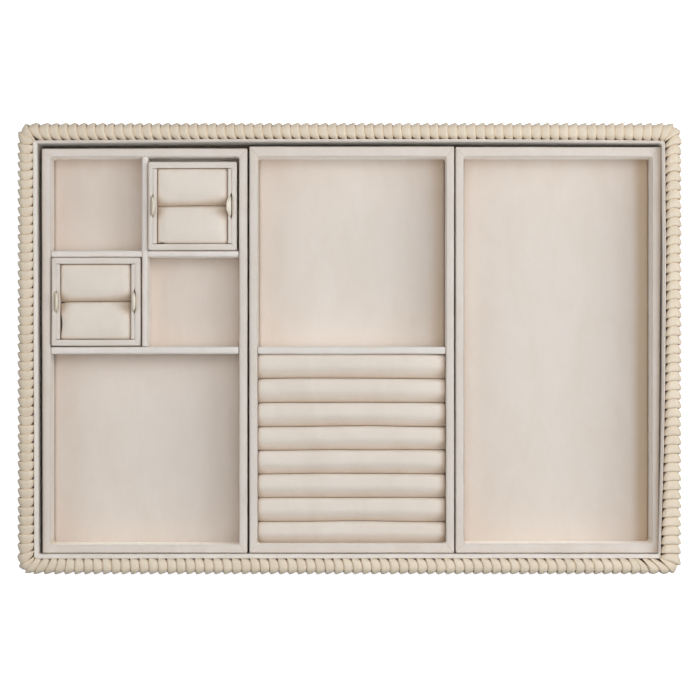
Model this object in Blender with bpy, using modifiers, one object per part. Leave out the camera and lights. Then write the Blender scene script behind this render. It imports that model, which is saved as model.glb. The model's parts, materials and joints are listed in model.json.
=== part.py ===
"""Open jewellery case: a suede-lined box with a cord-wound rim, three lift-out trays and two ring boxes.

Run it with: blender --background --python part.py
Units are metres. +X is the long side, +Y the back, +Z up. The origin is the centre of the underside.
Each body has an empty at its reference point, and its pieces are placed from that empty.
"""

import math

import bmesh
import bpy
from mathutils import Matrix, Vector

# Clearances
SEAT_GAP = 0.0003            # between two pieces that rest on, or are glued to, each other
MITRE_GAP = 0.0003           # between the mitred ends of two boards
TRAY_GAP = 0.0012            # between neighbouring trays
LEFT_PLAY = 0.0016           # left tray to the lining
RIGHT_PLAY = 0.0008          # right tray to the lining
FRONT_PLAY = 0.0005          # trays to the front lining
BACK_PLAY = 0.0031           # trays to the back lining

# Ring boxes
RING_BOX_WIDTH = 0.0576
RING_BOX_LENGTH = 0.0576
RING_BOX_HEIGHT = 0.0326
RING_BOX_FLOOR = 0.0024
RING_BOX_SIDE = 0.0032       # left and right walls
RING_BOX_END = 0.0041        # front and back walls
RING_BOX_EDGE = 0.0009
RING_BOX_LINER = 0.0021      # boards that hold the pull tabs against the side walls
LINER_EDGE = 0.0006
RING_PAD_DROP = 0.0006       # pad crown below the box's edge
RING_PAD_SLIT_FALL = 0.0042  # fall of a pad's top towards the slit
RING_PAD_SLIT_SHARPNESS = 5.0
RING_PAD_EDGE_FALL = 0.0012
RING_PAD_EDGE_SHARPNESS = 9.0

# Pull tabs, leaning from upright towards -X at rest
TAB_CHORD = 0.0143
TAB_RISE = 0.0055
TAB_THICKNESS = 0.0016
TAB_EDGE = 0.00035
TAB_GROOVE_SLACK = 0.00055
TAB_GROOVE_DEPTH = 0.0015
TAB_LEAN_DEG = {
    "rear_tab_left": -8.0,
    "rear_tab_right": -18.0,
    "front_tab_left": -3.0,
    "front_tab_right": -13.0,
}

# Ring rolls of the middle tray
ROLL_COUNT = 8
ROLL_PITCH = 0.015575
ROLL_DROP = 0.001            # crown below the tray's edge
ROLL_SIDE_FALL = 0.0052      # fall from a roll's crown to its sides
ROLL_SIDE_SHARPNESS = 2.6
ROLL_END_FALL = 0.0018
ROLL_END_SHARPNESS = 14.0

# Cells of the left tray: what each is wider or longer than the ring boxes
CELL_SIDE_PLAY = 0.0019
FRONT_CELL_PLAY = 0.001
REAR_CELL_PLAY = 0.0044
FRONT_BOX_SIDE = 0.0007      # front ring box to its cell's left side
FRONT_BOX_FRONT = 0.0006     # front ring box to its cell's front
REAR_BOX_SIDE = 0.0003
REAR_BOX_FRONT = 0.0004

# Trays
TRAY_COUNT = 3
TRAY_HEIGHT = 0.036
TRAY_WALL = 0.0052
TRAY_EDGE_RADIUS = 0.0016
TRAY_BASE = 0.003
TRAY_PAD = 0.0015
PAD_EDGE = 0.0005
DIVIDER = 0.0048
CELL_DIVIDER = 0.004
DIVIDER_DROP = 0.0012        # divider top below the tray's edge
DIVIDER_EDGE_RADIUS = 0.0016

# Case
FELT = 0.0015
FELT_INSET = 0.001
CASE_BASE = 0.006
LINING = 0.0028
LINING_RISE = 0.007          # lining's edge above the trays
LINING_EDGE_RADIUS = 0.0009
WALL = 0.0074
CLADDING = 0.0012
CASE_CORNER = 0.006          # outer radius of the walls' vertical corners

# Cord-wound rim
RIM_HEIGHT = 0.012
RIM_OVERHANG = 0.001         # winding outside the cladding
RIM_OVER_LINING = 0.0015     # crown of the winding above the lining's edge
RIM_CHAMFER = 0.003          # corner of the winding's section
RIM_CORNER_CUT = 0.006       # plan chamfer at the case's corners
CORD_PITCH = 0.006
CORD_GROOVE = 0.0012         # depth of the valley between two turns
CORD_WALL = 0.0024           # from the cord's crests to the core
CORE_CHAMFER = 0.0014        # corners of the core's section

# Fineness of the faceted forms
ARC_STEPS = 4                # chords in a rounded edge
PILLOW_STEPS = (3, 6)        # faces across and along a pad's crowned top
OVERRUN = 0.005              # what a board has beyond each end until it is mitred

# Plan of a tray, from its front left inner corner: the compartments give its size
CELL_WIDTH = RING_BOX_WIDTH + CELL_SIDE_PLAY
FRONT_CELL = RING_BOX_LENGTH + FRONT_CELL_PLAY
REAR_CELL = RING_BOX_LENGTH + REAR_CELL_PLAY
FRONT_COMPARTMENT = ROLL_COUNT * ROLL_PITCH
REAR_COMPARTMENT = FRONT_CELL + CELL_DIVIDER + REAR_CELL
TRAY_INNER_WIDTH = 2 * CELL_WIDTH + CELL_DIVIDER
TRAY_INNER_LENGTH = FRONT_COMPARTMENT + DIVIDER + REAR_COMPARTMENT
TRAY_WIDTH = TRAY_INNER_WIDTH + 2 * TRAY_WALL
TRAY_LENGTH = TRAY_INNER_LENGTH + 2 * TRAY_WALL
TRAY_FRONT_Y = -TRAY_INNER_LENGTH / 2
DIVIDER_Y = TRAY_FRONT_Y + FRONT_COMPARTMENT + DIVIDER / 2
CELLS_FRONT_Y = DIVIDER_Y + DIVIDER / 2
CROSS_Y = CELLS_FRONT_Y + FRONT_CELL + CELL_DIVIDER / 2

# Plan of the case, from the trays outwards
INNER_WIDTH = TRAY_COUNT * TRAY_WIDTH + (TRAY_COUNT - 1) * TRAY_GAP + LEFT_PLAY + RIGHT_PLAY
INNER_LENGTH = TRAY_LENGTH + FRONT_PLAY + BACK_PLAY
LINED_WIDTH = INNER_WIDTH + 2 * (LINING + SEAT_GAP)
LINED_LENGTH = INNER_LENGTH + 2 * (LINING + SEAT_GAP)
WALLED_WIDTH = LINED_WIDTH + 2 * WALL
WALLED_LENGTH = LINED_LENGTH + 2 * WALL
RIM_WIDTH = WALL + SEAT_GAP + CLADDING + RIM_OVERHANG

# Heights in a tray, from its underside up
TRAY_BASE_Z = SEAT_GAP
TRAY_PAD_Z = TRAY_BASE_Z + TRAY_BASE + SEAT_GAP
ON_PAD_Z = TRAY_PAD_Z + TRAY_PAD + SEAT_GAP
DIVIDER_HEIGHT = TRAY_HEIGHT - DIVIDER_DROP - ON_PAD_Z

# Heights of the stack, from the case's underside up
CASE_BASE_Z = FELT + SEAT_GAP
TRAY_Z = CASE_BASE_Z + CASE_BASE + SEAT_GAP
LINING_TOP_Z = TRAY_Z + TRAY_HEIGHT + LINING_RISE
RIM_TOP_Z = LINING_TOP_Z + RIM_OVER_LINING
RIM_Z = RIM_TOP_Z - RIM_HEIGHT
WALL_TOP_Z = RIM_Z - SEAT_GAP

# The four sides of a rectangular frame: the turn that carries +Y, a board's outward side, to that side
SIDES = {
    "back": 0.0,
    "left": math.pi / 2,
    "front": math.pi,
    "right": -math.pi / 2,
}


def clear_scene():
    for obj in list(bpy.data.objects):
        bpy.data.objects.remove(obj)


def new_collection(name):
    collection = bpy.data.collections.new(name)
    bpy.context.scene.collection.children.link(collection)
    return collection


def new_material(name, colour, roughness, metallic=0.0):
    material = bpy.data.materials.new(name)
    material.use_nodes = True
    shader = material.node_tree.nodes["Principled BSDF"]
    shader.inputs["Base Color"].default_value = (*colour, 1.0)
    shader.inputs["Roughness"].default_value = roughness
    shader.inputs["Metallic"].default_value = metallic
    material.diffuse_color = (*colour, 1.0)
    return material


clear_scene()
PARTS = new_collection("jewellery_case")
CUTTERS = new_collection("cutters")
SUEDE = new_material("suede", (0.70, 0.64, 0.59), 0.95)
SUEDE_FLOOR = new_material("suede_floor", (0.70, 0.63, 0.57), 0.95)
LEATHER = new_material("leather", (0.70, 0.60, 0.47), 0.45)
BOARD = new_material("board", (0.42, 0.30, 0.19), 0.8)
FELT_CLOTH = new_material("felt", (0.62, 0.56, 0.50), 1.0)


# Basic builders


def add_empty(name, parent, place):
    """The reference point of a body, from which its pieces are placed."""
    empty = bpy.data.objects.new(name, None)
    empty.parent = parent
    empty.location = place
    empty.empty_display_size = 0.01
    PARTS.objects.link(empty)
    return empty


def add_object(name, mesh, material, parent, place=(0, 0, 0), turn=0.0):
    obj = bpy.data.objects.new(name, mesh)
    obj.parent = parent
    obj.location = place
    obj.rotation_euler.z = turn
    mesh.materials.append(material)
    PARTS.objects.link(obj)
    return obj


def finish_mesh(name, mesh_data, smooth_angle=math.radians(35)):
    """A bmesh made into a mesh whose faces point out."""
    bmesh.ops.recalc_face_normals(mesh_data, faces=mesh_data.faces)
    mesh = bpy.data.meshes.new(name)
    mesh_data.to_mesh(mesh)
    mesh_data.free()
    mesh.shade_smooth()
    mesh.set_sharp_from_angle(angle=smooth_angle)
    return mesh


def box_mesh(name, size, low=(None, None, 0.0)):
    """A box of the given size. A low of None centres that axis on the origin."""
    mesh_data = bmesh.new()
    bmesh.ops.create_cube(mesh_data, size=1.0)
    shift = [0.0 if value is None else value + side / 2 for value, side in zip(low, size)]
    bmesh.ops.scale(mesh_data, vec=size, verts=mesh_data.verts)
    bmesh.ops.translate(mesh_data, vec=shift, verts=mesh_data.verts)
    return finish_mesh(name, mesh_data)


def outline_bmesh(outlines, thickness):
    """A flat outline, with its holes as further outlines, extruded to both sides of z = 0."""
    curve = bpy.data.curves.new("outline", "CURVE")
    curve.dimensions = "2D"
    curve.fill_mode = "BOTH"
    curve.extrude = thickness / 2
    for points in outlines:
        spline = curve.splines.new("POLY")
        spline.points.add(len(points) - 1)
        for knot, (x, y) in zip(spline.points, points):
            knot.co = (x, y, 0.0, 1.0)
        spline.use_cyclic_u = True
    flat = bpy.data.objects.new("outline", curve)
    PARTS.objects.link(flat)
    graph = bpy.context.evaluated_depsgraph_get()
    mesh = bpy.data.meshes.new_from_object(flat.evaluated_get(graph))
    bpy.data.objects.remove(flat)
    mesh_data = bmesh.new()
    mesh_data.from_mesh(mesh)
    bmesh.ops.remove_doubles(mesh_data, verts=mesh_data.verts, dist=1e-6)
    return mesh_data


def plate_mesh(name, outlines, thickness, low_z=0.0):
    """A horizontal plate of that outline, standing on low_z."""
    mesh_data = outline_bmesh(outlines, thickness)
    bmesh.ops.translate(mesh_data, vec=(0, 0, low_z + thickness / 2), verts=mesh_data.verts)
    return finish_mesh(name, mesh_data)


def arc(centre_x, centre_y, radius, start, end, steps=ARC_STEPS):
    angles = (start + (end - start) * step / steps for step in range(steps + 1))
    return [(centre_x + radius * math.cos(a), centre_y + radius * math.sin(a)) for a in angles]


def rounded_rectangle(width, length, radius):
    x, y = width / 2 - radius, length / 2 - radius
    quarter = math.pi / 2
    corners = [(x, y, 0), (-x, y, 1), (-x, -y, 2), (x, -y, 3)]
    return [
        point
        for corner_x, corner_y, turn in corners
        for point in arc(corner_x, corner_y, radius, turn * quarter, (turn + 1) * quarter)
    ]


def board_profile(thickness, height, edge_radius):
    """A board's section, from its inner face at 0 to its outer face, with both top edges rounded."""
    radius = min(edge_radius, 0.45 * thickness)
    quarter = math.pi / 2
    return [
        (0.0, 0.0),
        (thickness, 0.0),
        *arc(thickness - radius, height - radius, radius, 0.0, quarter),
        *arc(radius, height - radius, radius, quarter, 2 * quarter),
    ]


def slice_off(mesh_data, point, normal):
    """Cuts away what lies beyond a plane and closes the cut."""
    everything = [*mesh_data.verts, *mesh_data.edges, *mesh_data.faces]
    cut = bmesh.ops.bisect_plane(
        mesh_data, geom=everything, dist=1e-7, plane_co=point, plane_no=normal, clear_outer=True
    )
    rim = [item for item in cut["geom_cut"] if isinstance(item, bmesh.types.BMEdge)]
    bmesh.ops.edgeloop_fill(mesh_data, edges=rim)


def mitre_both_ends(mesh_data, inner_half, gap=MITRE_GAP):
    """Cuts both ends of a board along X at 45 degrees, so that its inner face is 2 * inner_half long."""
    for end in (-1, 1):
        normal = Vector((end, -1, 0)).normalized()
        slice_off(mesh_data, Vector((end * inner_half, 0, 0)) - normal * gap / 2, normal)


def lengthwise(mesh_data):
    """Turns an extruded section so that it runs along X, with the section's x outward and its y up."""
    bmesh.ops.transform(
        mesh_data,
        matrix=Matrix(((0, 0, 1, 0), (1, 0, 0, 0), (0, 1, 0, 0), (0, 0, 0, 1))),
        verts=mesh_data.verts,
    )


def mitred_board(name, section, inner_half):
    """A board of that section whose mitred ends meet its neighbours in a rectangular frame."""
    depth = max(x for x, _ in section)
    mesh_data = outline_bmesh([section], 2 * (inner_half + depth + OVERRUN))
    lengthwise(mesh_data)
    mitre_both_ends(mesh_data, inner_half)
    return finish_mesh(name, mesh_data)


def cut_outer_corners(mesh_data, inner_half, depth, leg):
    """Chamfers the plan corner that two mitred boards share, by that leg along each side."""
    for end in (-1, 1):
        point = Vector((end * (inner_half + depth - leg / 2), depth - leg / 2, 0))
        slice_off(mesh_data, point, Vector((end, 1, 0)).normalized())


def straight_board(name, section, length):
    """A board of that section, centred across its thickness and its length."""
    depth = max(x for x, _ in section)
    mesh_data = outline_bmesh([section], length)
    lengthwise(mesh_data)
    bmesh.ops.translate(mesh_data, vec=(0, -depth / 2, 0), verts=mesh_data.verts)
    return finish_mesh(name, mesh_data)


def side_place(side, inner_width, inner_length, z):
    """Where a frame's side starts, and half the length of that side."""
    half_width, half_length = inner_width / 2, inner_length / 2
    place = {
        "back": (0, half_length, z),
        "front": (0, -half_length, z),
        "left": (-half_width, 0, z),
        "right": (half_width, 0, z),
    }[side]
    return place, half_width if side in ("front", "back") else half_length


def frame_of_boards(prefix, inner_width, inner_length, section, z, material, parent):
    """Four mitred boards, each its own piece."""
    for side, turn in SIDES.items():
        place, inner_half = side_place(side, inner_width, inner_length, z)
        name = f"{prefix}_{side}"
        add_object(name, mitred_board(name, section, inner_half), material, parent, place, turn)


def soften(obj, width, segments=2):
    """Rounds an object's sharp edges."""
    bevel = obj.modifiers.new("soft_edges", "BEVEL")
    bevel.width = width
    bevel.segments = segments
    bevel.limit_method = "ANGLE"
    bevel.angle_limit = math.radians(50)


def cut(obj, cutter):
    boolean = obj.modifiers.new(f"cut_{cutter.name}", "BOOLEAN")
    boolean.operation = "DIFFERENCE"
    boolean.object = cutter


def join(obj, other):
    boolean = obj.modifiers.new(f"join_{other.name}", "BOOLEAN")
    boolean.operation = "UNION"
    boolean.object = other


def add_cutter(name, mesh, parent, place=(0, 0, 0), turn=0.0):
    cutter = bpy.data.objects.new(name, mesh)
    cutter.parent = parent
    cutter.location = place
    cutter.rotation_euler.z = turn
    cutter.hide_render = True
    cutter.display_type = "WIRE"
    CUTTERS.objects.link(cutter)
    return cutter


def pillow_mesh(name, width, length, height, falls):
    """A foam block whose top falls away at its edges.

    falls gives, for -X, +X, -Y and +Y, how far the top falls at that edge and how sharply.
    """
    mesh_data = bmesh.new()
    across, along = PILLOW_STEPS
    bmesh.ops.create_grid(mesh_data, x_segments=across, y_segments=along, size=1.0)
    for vert in mesh_data.verts:
        u, v = (math.copysign(1 - (1 - abs(share)) ** 2, share) for share in vert.co.xy)
        drop = 0.0
        for share, (fall, sharpness) in zip((-u, u, -v, v), falls):
            drop += fall * max(share, 0.0) ** sharpness
        vert.co = (u * width / 2, v * length / 2, height - drop)
    rim = [edge for edge in mesh_data.edges if edge.is_boundary]
    skirt = bmesh.ops.extrude_edge_only(mesh_data, edges=rim)["geom"]
    for vert in skirt:
        if isinstance(vert, bmesh.types.BMVert):
            vert.co.z = 0.0
    bmesh.ops.edgeloop_fill(
        mesh_data, edges=[edge for edge in mesh_data.edges if edge.is_boundary]
    )
    return finish_mesh(name, mesh_data, math.radians(60))


# Case: base, walls, cladding, lining and floor


def wall_outline(inner_half):
    """Plan of one wall board: mitred ends that finish in half of the case's rounded corner."""
    inset = MITRE_GAP / math.sqrt(2)
    half = inner_half - inset
    x, y = half + WALL - CASE_CORNER, WALL - CASE_CORNER
    eighth = math.pi / 4
    return [
        (-half, 0.0),
        (half, 0.0),
        *arc(x, y, CASE_CORNER, eighth, 2 * eighth),
        *arc(-x, y, CASE_CORNER, 2 * eighth, 3 * eighth),
    ]


def build_case_body(case):
    felt_width = WALLED_WIDTH - 2 * FELT_INSET
    felt_length = WALLED_LENGTH - 2 * FELT_INSET
    felt = rounded_rectangle(felt_width, felt_length, CASE_CORNER - FELT_INSET)
    add_object("base_felt", plate_mesh("base_felt", [felt], FELT), FELT_CLOTH, case)

    base_size = (LINED_WIDTH - 2 * SEAT_GAP, LINED_LENGTH - 2 * SEAT_GAP, CASE_BASE)
    base = box_mesh("base_board", base_size)
    add_object("base_board", base, SUEDE_FLOOR, case, (0, 0, CASE_BASE_Z))

    wall_height = WALL_TOP_Z - CASE_BASE_Z
    for side, turn in SIDES.items():
        place, inner_half = side_place(side, LINED_WIDTH, LINED_LENGTH, CASE_BASE_Z)
        name = f"case_wall_{side}"
        mesh = plate_mesh(name, [wall_outline(inner_half)], wall_height)
        add_object(name, mesh, BOARD, case, place, turn)

    inner_skin = rounded_rectangle(
        WALLED_WIDTH + 2 * SEAT_GAP, WALLED_LENGTH + 2 * SEAT_GAP, CASE_CORNER + SEAT_GAP
    )
    outer_skin = rounded_rectangle(
        WALLED_WIDTH + 2 * (SEAT_GAP + CLADDING),
        WALLED_LENGTH + 2 * (SEAT_GAP + CLADDING),
        CASE_CORNER + SEAT_GAP + CLADDING,
    )
    skin = plate_mesh("leather_cladding", [outer_skin, inner_skin], wall_height)
    add_object("leather_cladding", skin, LEATHER, case, (0, 0, CASE_BASE_Z))

    lining_height = LINING_TOP_Z - TRAY_Z
    frame_of_boards(
        "case_lining",
        INNER_WIDTH,
        INNER_LENGTH,
        board_profile(LINING, lining_height, LINING_EDGE_RADIUS),
        TRAY_Z,
        SUEDE,
        case,
    )


# Rim: a cord wound round a mitred core. Each turn crosses the top square to the rim and leans forward as it
# goes down both sides, and it gains one pitch under the rim.


def turn_section(sunk=0.0):
    """The eight corners that a turn passes, as (outward, up, share of a pitch gained).

    They lie on the crests, or that far below them.
    """
    half_width, half_height = RIM_WIDTH / 2 - sunk, RIM_HEIGHT / 2 - sunk
    leg = min(RIM_CHAMFER, 0.4 * RIM_WIDTH, 0.4 * RIM_HEIGHT) - sunk * (2 - math.sqrt(2))
    flat_width, flat_height = half_width - leg, half_height - leg
    return [
        (-flat_width, half_height, 0.0),
        (flat_width, half_height, 0.0),
        (half_width, flat_height, 0.2),
        (half_width, -flat_height, 0.45),
        (flat_width, -half_height, 0.6),
        (-flat_width, -half_height, 0.95),
        (-half_width, -flat_height, 1.25),
        (-half_width, flat_height, 1.1),
    ]


def winding_bmesh(inner_half):
    """One side's winding as a threaded sleeve, with crests and valleys half a pitch apart."""
    length = 2 * (inner_half + RIM_WIDTH)
    turns = round(length / CORD_PITCH)
    pitch = length / turns
    spare = 3
    crest, valley = turn_section(), turn_section(CORD_GROOVE)
    columns = len(crest)
    mesh_data = bmesh.new()
    rows = []
    for station in range(-2 * spare, 2 * (turns + spare)):
        section = crest if station % 2 == 0 else valley
        rows.append(
            [
                mesh_data.verts.new(
                    (
                        (station / 2 + gain) * pitch - length / 2,
                        RIM_WIDTH / 2 + outward,
                        RIM_HEIGHT / 2 + up,
                    )
                )
                for outward, up, gain in section
            ]
        )
    for low in range(len(rows) - 3):
        for column in range(columns):
            # The last column closes onto the first, one pitch, and so two rows, further on.
            shift = 2 if column == columns - 1 else 0
            following = (column + 1) % columns
            mesh_data.faces.new(
                (
                    rows[low][column],
                    rows[low + shift][following],
                    rows[low + 1 + shift][following],
                    rows[low + 1][column],
                )
            )
    bmesh.ops.recalc_face_normals(mesh_data, faces=mesh_data.faces)
    mitre_both_ends(mesh_data, inner_half)
    cut_outer_corners(mesh_data, inner_half, RIM_WIDTH, RIM_CORNER_CUT)
    return mesh_data


def core_section(grow=0.0):
    """The core's chamfered section, or that of its bore when grown by its clearance."""
    low, high = CORD_WALL - grow, RIM_WIDTH - CORD_WALL + grow
    top = RIM_HEIGHT - CORD_WALL + grow
    leg = min(CORE_CHAMFER, 0.4 * (RIM_WIDTH - 2 * CORD_WALL)) + grow * (2 - math.sqrt(2))
    return [
        (low + leg, low),
        (high - leg, low),
        (high, low + leg),
        (high, top - leg),
        (high - leg, top),
        (low + leg, top),
        (low, top - leg),
        (low, low + leg),
    ]


def core_corner_leg(grow=0.0):
    """Plan chamfer that keeps the cord's wall between the core and the winding's own chamfer."""
    return RIM_CORNER_CUT - (CORD_WALL - grow) * (2 - math.sqrt(2))


def core_rail(inner_half, grow=0.0):
    """One side of the core, or of its bore, run on past the mitre."""
    rail = outline_bmesh([core_section(grow)], 2 * (inner_half + RIM_WIDTH + OVERRUN))
    lengthwise(rail)
    cut_outer_corners(rail, inner_half, RIM_WIDTH - CORD_WALL + grow, core_corner_leg(grow))
    return rail


def build_rim(case):
    for side, turn in SIDES.items():
        place, inner_half = side_place(side, LINED_WIDTH, LINED_LENGTH, RIM_Z)
        name = f"rim_winding_{side}"
        winding = add_object(
            name, finish_mesh(name, winding_bmesh(inner_half)), LEATHER, case, place, turn
        )
        bore_mesh = finish_mesh("rim_bore", core_rail(inner_half, SEAT_GAP))
        cut(winding, add_cutter(f"rim_bore_{side}", bore_mesh, case, place, turn))
    build_core(case)


def build_core(case):
    """Four mitred rails joined at the corners, where they overlap by less than the bore's clearance."""
    rails = []
    for side in SIDES:
        place, inner_half = side_place(side, LINED_WIDTH, LINED_LENGTH, RIM_Z)
        rail = core_rail(inner_half)
        mitre_both_ends(rail, inner_half, gap=-SEAT_GAP / 2)
        rails.append((side, place, finish_mesh("core_rail", rail)))
    side, place, mesh = rails[0]
    core = add_object("rim_core", mesh, BOARD, case, place, SIDES[side])
    for side, place, mesh in rails[1:]:
        join(core, add_cutter(f"core_rail_{side}", mesh, case, place, SIDES[side]))


# Trays


def build_tray(prefix, tray):
    """What all three trays share: a mitred wall frame with an inset base board and a floor pad."""
    frame_of_boards(
        f"{prefix}_wall",
        TRAY_INNER_WIDTH,
        TRAY_INNER_LENGTH,
        board_profile(TRAY_WALL, TRAY_HEIGHT, TRAY_EDGE_RADIUS),
        0.0,
        SUEDE,
        tray,
    )
    base_size = (TRAY_INNER_WIDTH - 2 * SEAT_GAP, TRAY_INNER_LENGTH - 2 * SEAT_GAP, TRAY_BASE)
    base = box_mesh(f"{prefix}_base", base_size)
    add_object(f"{prefix}_base", base, SUEDE, tray, (0, 0, TRAY_BASE_Z))
    pad_size = (TRAY_INNER_WIDTH - 2 * SEAT_GAP, TRAY_INNER_LENGTH - 2 * SEAT_GAP, TRAY_PAD)
    pad_mesh = box_mesh(f"{prefix}_floor_pad", pad_size)
    pad = add_object(
        f"{prefix}_floor_pad", pad_mesh, SUEDE_FLOOR, tray, (0, 0, TRAY_PAD_Z)
    )
    soften(pad, PAD_EDGE)


def build_divider(name, tray, thickness, length, place, turn=0.0):
    section = board_profile(thickness, DIVIDER_HEIGHT, DIVIDER_EDGE_RADIUS)
    mesh = straight_board(name, section, length - 2 * SEAT_GAP)
    return add_object(name, mesh, SUEDE, tray, place, turn)


def build_left_tray(tray):
    build_divider(
        "left_tray_divider", tray, DIVIDER, TRAY_INNER_WIDTH, (0, DIVIDER_Y, ON_PAD_Z)
    )
    long_y = CELLS_FRONT_Y + REAR_COMPARTMENT / 2
    cross = build_divider(
        "cell_divider_cross", tray, CELL_DIVIDER, TRAY_INNER_WIDTH, (0, CROSS_Y, ON_PAD_Z)
    )
    along = build_divider(
        "cell_divider_long",
        tray,
        CELL_DIVIDER,
        REAR_COMPARTMENT,
        (0, long_y, ON_PAD_Z),
        math.pi / 2,
    )
    halve_where_they_cross(tray, cross, along)


def halve_where_they_cross(tray, cross, along):
    """Half-lap: the crosswise board is slotted from above, the lengthwise one from below."""
    slot = CELL_DIVIDER + 2 * SEAT_GAP
    half = DIVIDER_HEIGHT / 2
    upper_size = (slot, slot + CELL_DIVIDER, DIVIDER_HEIGHT)
    upper = box_mesh("upper_slot", upper_size, (None, None, half - SEAT_GAP / 2))
    lower = box_mesh("lower_slot", upper_size, (None, None, half + SEAT_GAP / 2 - DIVIDER_HEIGHT))
    place = (0, CROSS_Y, ON_PAD_Z)
    cut(cross, add_cutter("lap_slot_above", upper, tray, place))
    cut(along, add_cutter("lap_slot_below", lower, tray, place, math.pi / 2))


def build_middle_tray(tray):
    build_divider(
        "middle_tray_divider", tray, DIVIDER, TRAY_INNER_WIDTH, (0, DIVIDER_Y, ON_PAD_Z)
    )
    end = (ROLL_END_FALL, ROLL_END_SHARPNESS)
    side = (ROLL_SIDE_FALL, ROLL_SIDE_SHARPNESS)
    roll = pillow_mesh(
        "ring_roll",
        TRAY_INNER_WIDTH - 2 * SEAT_GAP,
        ROLL_PITCH - SEAT_GAP,
        TRAY_HEIGHT - ROLL_DROP - ON_PAD_Z,
        (end, end, side, side),
    )
    roll.materials.append(SUEDE)
    for number in range(ROLL_COUNT):
        y = TRAY_FRONT_Y + (number + 0.5) * ROLL_PITCH
        obj = bpy.data.objects.new(f"ring_roll_{number + 1}", roll)
        obj.parent = tray
        obj.location = (0, y, ON_PAD_Z)
        PARTS.objects.link(obj)


# Ring boxes and their pull tabs


def seam_x():
    """Half the distance between the two seams that hold the tabs."""
    return RING_BOX_WIDTH / 2 - RING_BOX_SIDE - SEAT_GAP / 2


def build_ring_box(prefix, ring_box):
    outer = (RING_BOX_WIDTH, RING_BOX_LENGTH, RING_BOX_HEIGHT)
    shell = add_object(f"{prefix}_box_shell", box_mesh("shell", outer), SUEDE, ring_box)
    cavity_size = (
        RING_BOX_WIDTH - 2 * RING_BOX_SIDE,
        RING_BOX_LENGTH - 2 * RING_BOX_END,
        RING_BOX_HEIGHT,
    )
    cavity = box_mesh("cavity", cavity_size, (None, None, RING_BOX_FLOOR))
    cut(shell, add_cutter(f"{prefix}_box_cavity", cavity, ring_box))
    soften(shell, RING_BOX_EDGE)

    liner_length = cavity_size[1] - 2 * SEAT_GAP
    liner_height = RING_BOX_HEIGHT - RING_BOX_FLOOR - SEAT_GAP
    liner_x = RING_BOX_WIDTH / 2 - RING_BOX_SIDE - SEAT_GAP - RING_BOX_LINER / 2
    groove = (
        TAB_THICKNESS + 2 * TAB_GROOVE_SLACK,
        TAB_CHORD + 2 * TAB_GROOVE_SLACK,
        2 * TAB_GROOVE_DEPTH,
    )
    for side, sign in (("left", -1), ("right", 1)):
        groove_mesh = box_mesh("groove", groove, (None, None, -TAB_GROOVE_DEPTH))
        place = (sign * seam_x(), 0, RING_BOX_HEIGHT)
        cutter = add_cutter(f"{prefix}_groove_{side}", groove_mesh, ring_box, place)
        liner = add_object(
            f"{prefix}_box_liner_{side}",
            box_mesh("liner", (RING_BOX_LINER, liner_length, liner_height)),
            SUEDE,
            ring_box,
            (sign * liner_x, 0, RING_BOX_FLOOR + SEAT_GAP),
        )
        soften(liner, LINER_EDGE)
        cut(shell, cutter)
        cut(liner, cutter)
        build_tab(f"{prefix}_tab_{side}", ring_box, place)
    build_ring_pads(prefix, ring_box, cavity_size[1])


def build_ring_pads(prefix, ring_box, cavity_length):
    """Two foam pads with the ring slit between them."""
    width = RING_BOX_WIDTH - 2 * (RING_BOX_SIDE + RING_BOX_LINER + 2 * SEAT_GAP)
    length = (cavity_length - 3 * SEAT_GAP) / 2
    height = RING_BOX_HEIGHT - RING_PAD_DROP - RING_BOX_FLOOR - SEAT_GAP
    edge = (RING_PAD_EDGE_FALL, RING_PAD_EDGE_SHARPNESS)
    slit = (RING_PAD_SLIT_FALL, RING_PAD_SLIT_SHARPNESS)
    y = (length + SEAT_GAP) / 2
    pads = (
        ("front", -y, (edge, edge, edge, slit)),
        ("back", y, (edge, edge, slit, edge)),
    )
    for place, pad_y, falls in pads:
        name = f"{prefix}_ring_pad_{place}"
        mesh = pillow_mesh(name, width, length, height, falls)
        add_object(name, mesh, SUEDE, ring_box, (0, pad_y, RING_BOX_FLOOR + SEAT_GAP))


def build_tab(name, ring_box, place):
    """A half-moon leather tab whose origin is on the seam that it bends about."""
    half = TAB_CHORD / 2
    radius = (half ** 2 + TAB_RISE ** 2) / (2 * TAB_RISE)
    reach = math.asin(half / radius)
    root = TAB_THICKNESS / 2
    crown = arc(0.0, TAB_RISE - radius, radius, math.pi / 2 - reach, math.pi / 2 + reach, 10)
    moon = [(-half, -root), (half, -root), *crown]
    mesh_data = outline_bmesh([moon], TAB_THICKNESS)
    # The outline's x runs along the seam, its y goes up and its thickness lies across the wall.
    lengthwise(mesh_data)
    mesh = finish_mesh(name, mesh_data)
    tab = add_object(name, mesh, LEATHER, ring_box, place)
    tab.rotation_euler.y = math.radians(TAB_LEAN_DEG[name])
    soften(tab, TAB_EDGE)


# Assembly


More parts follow.
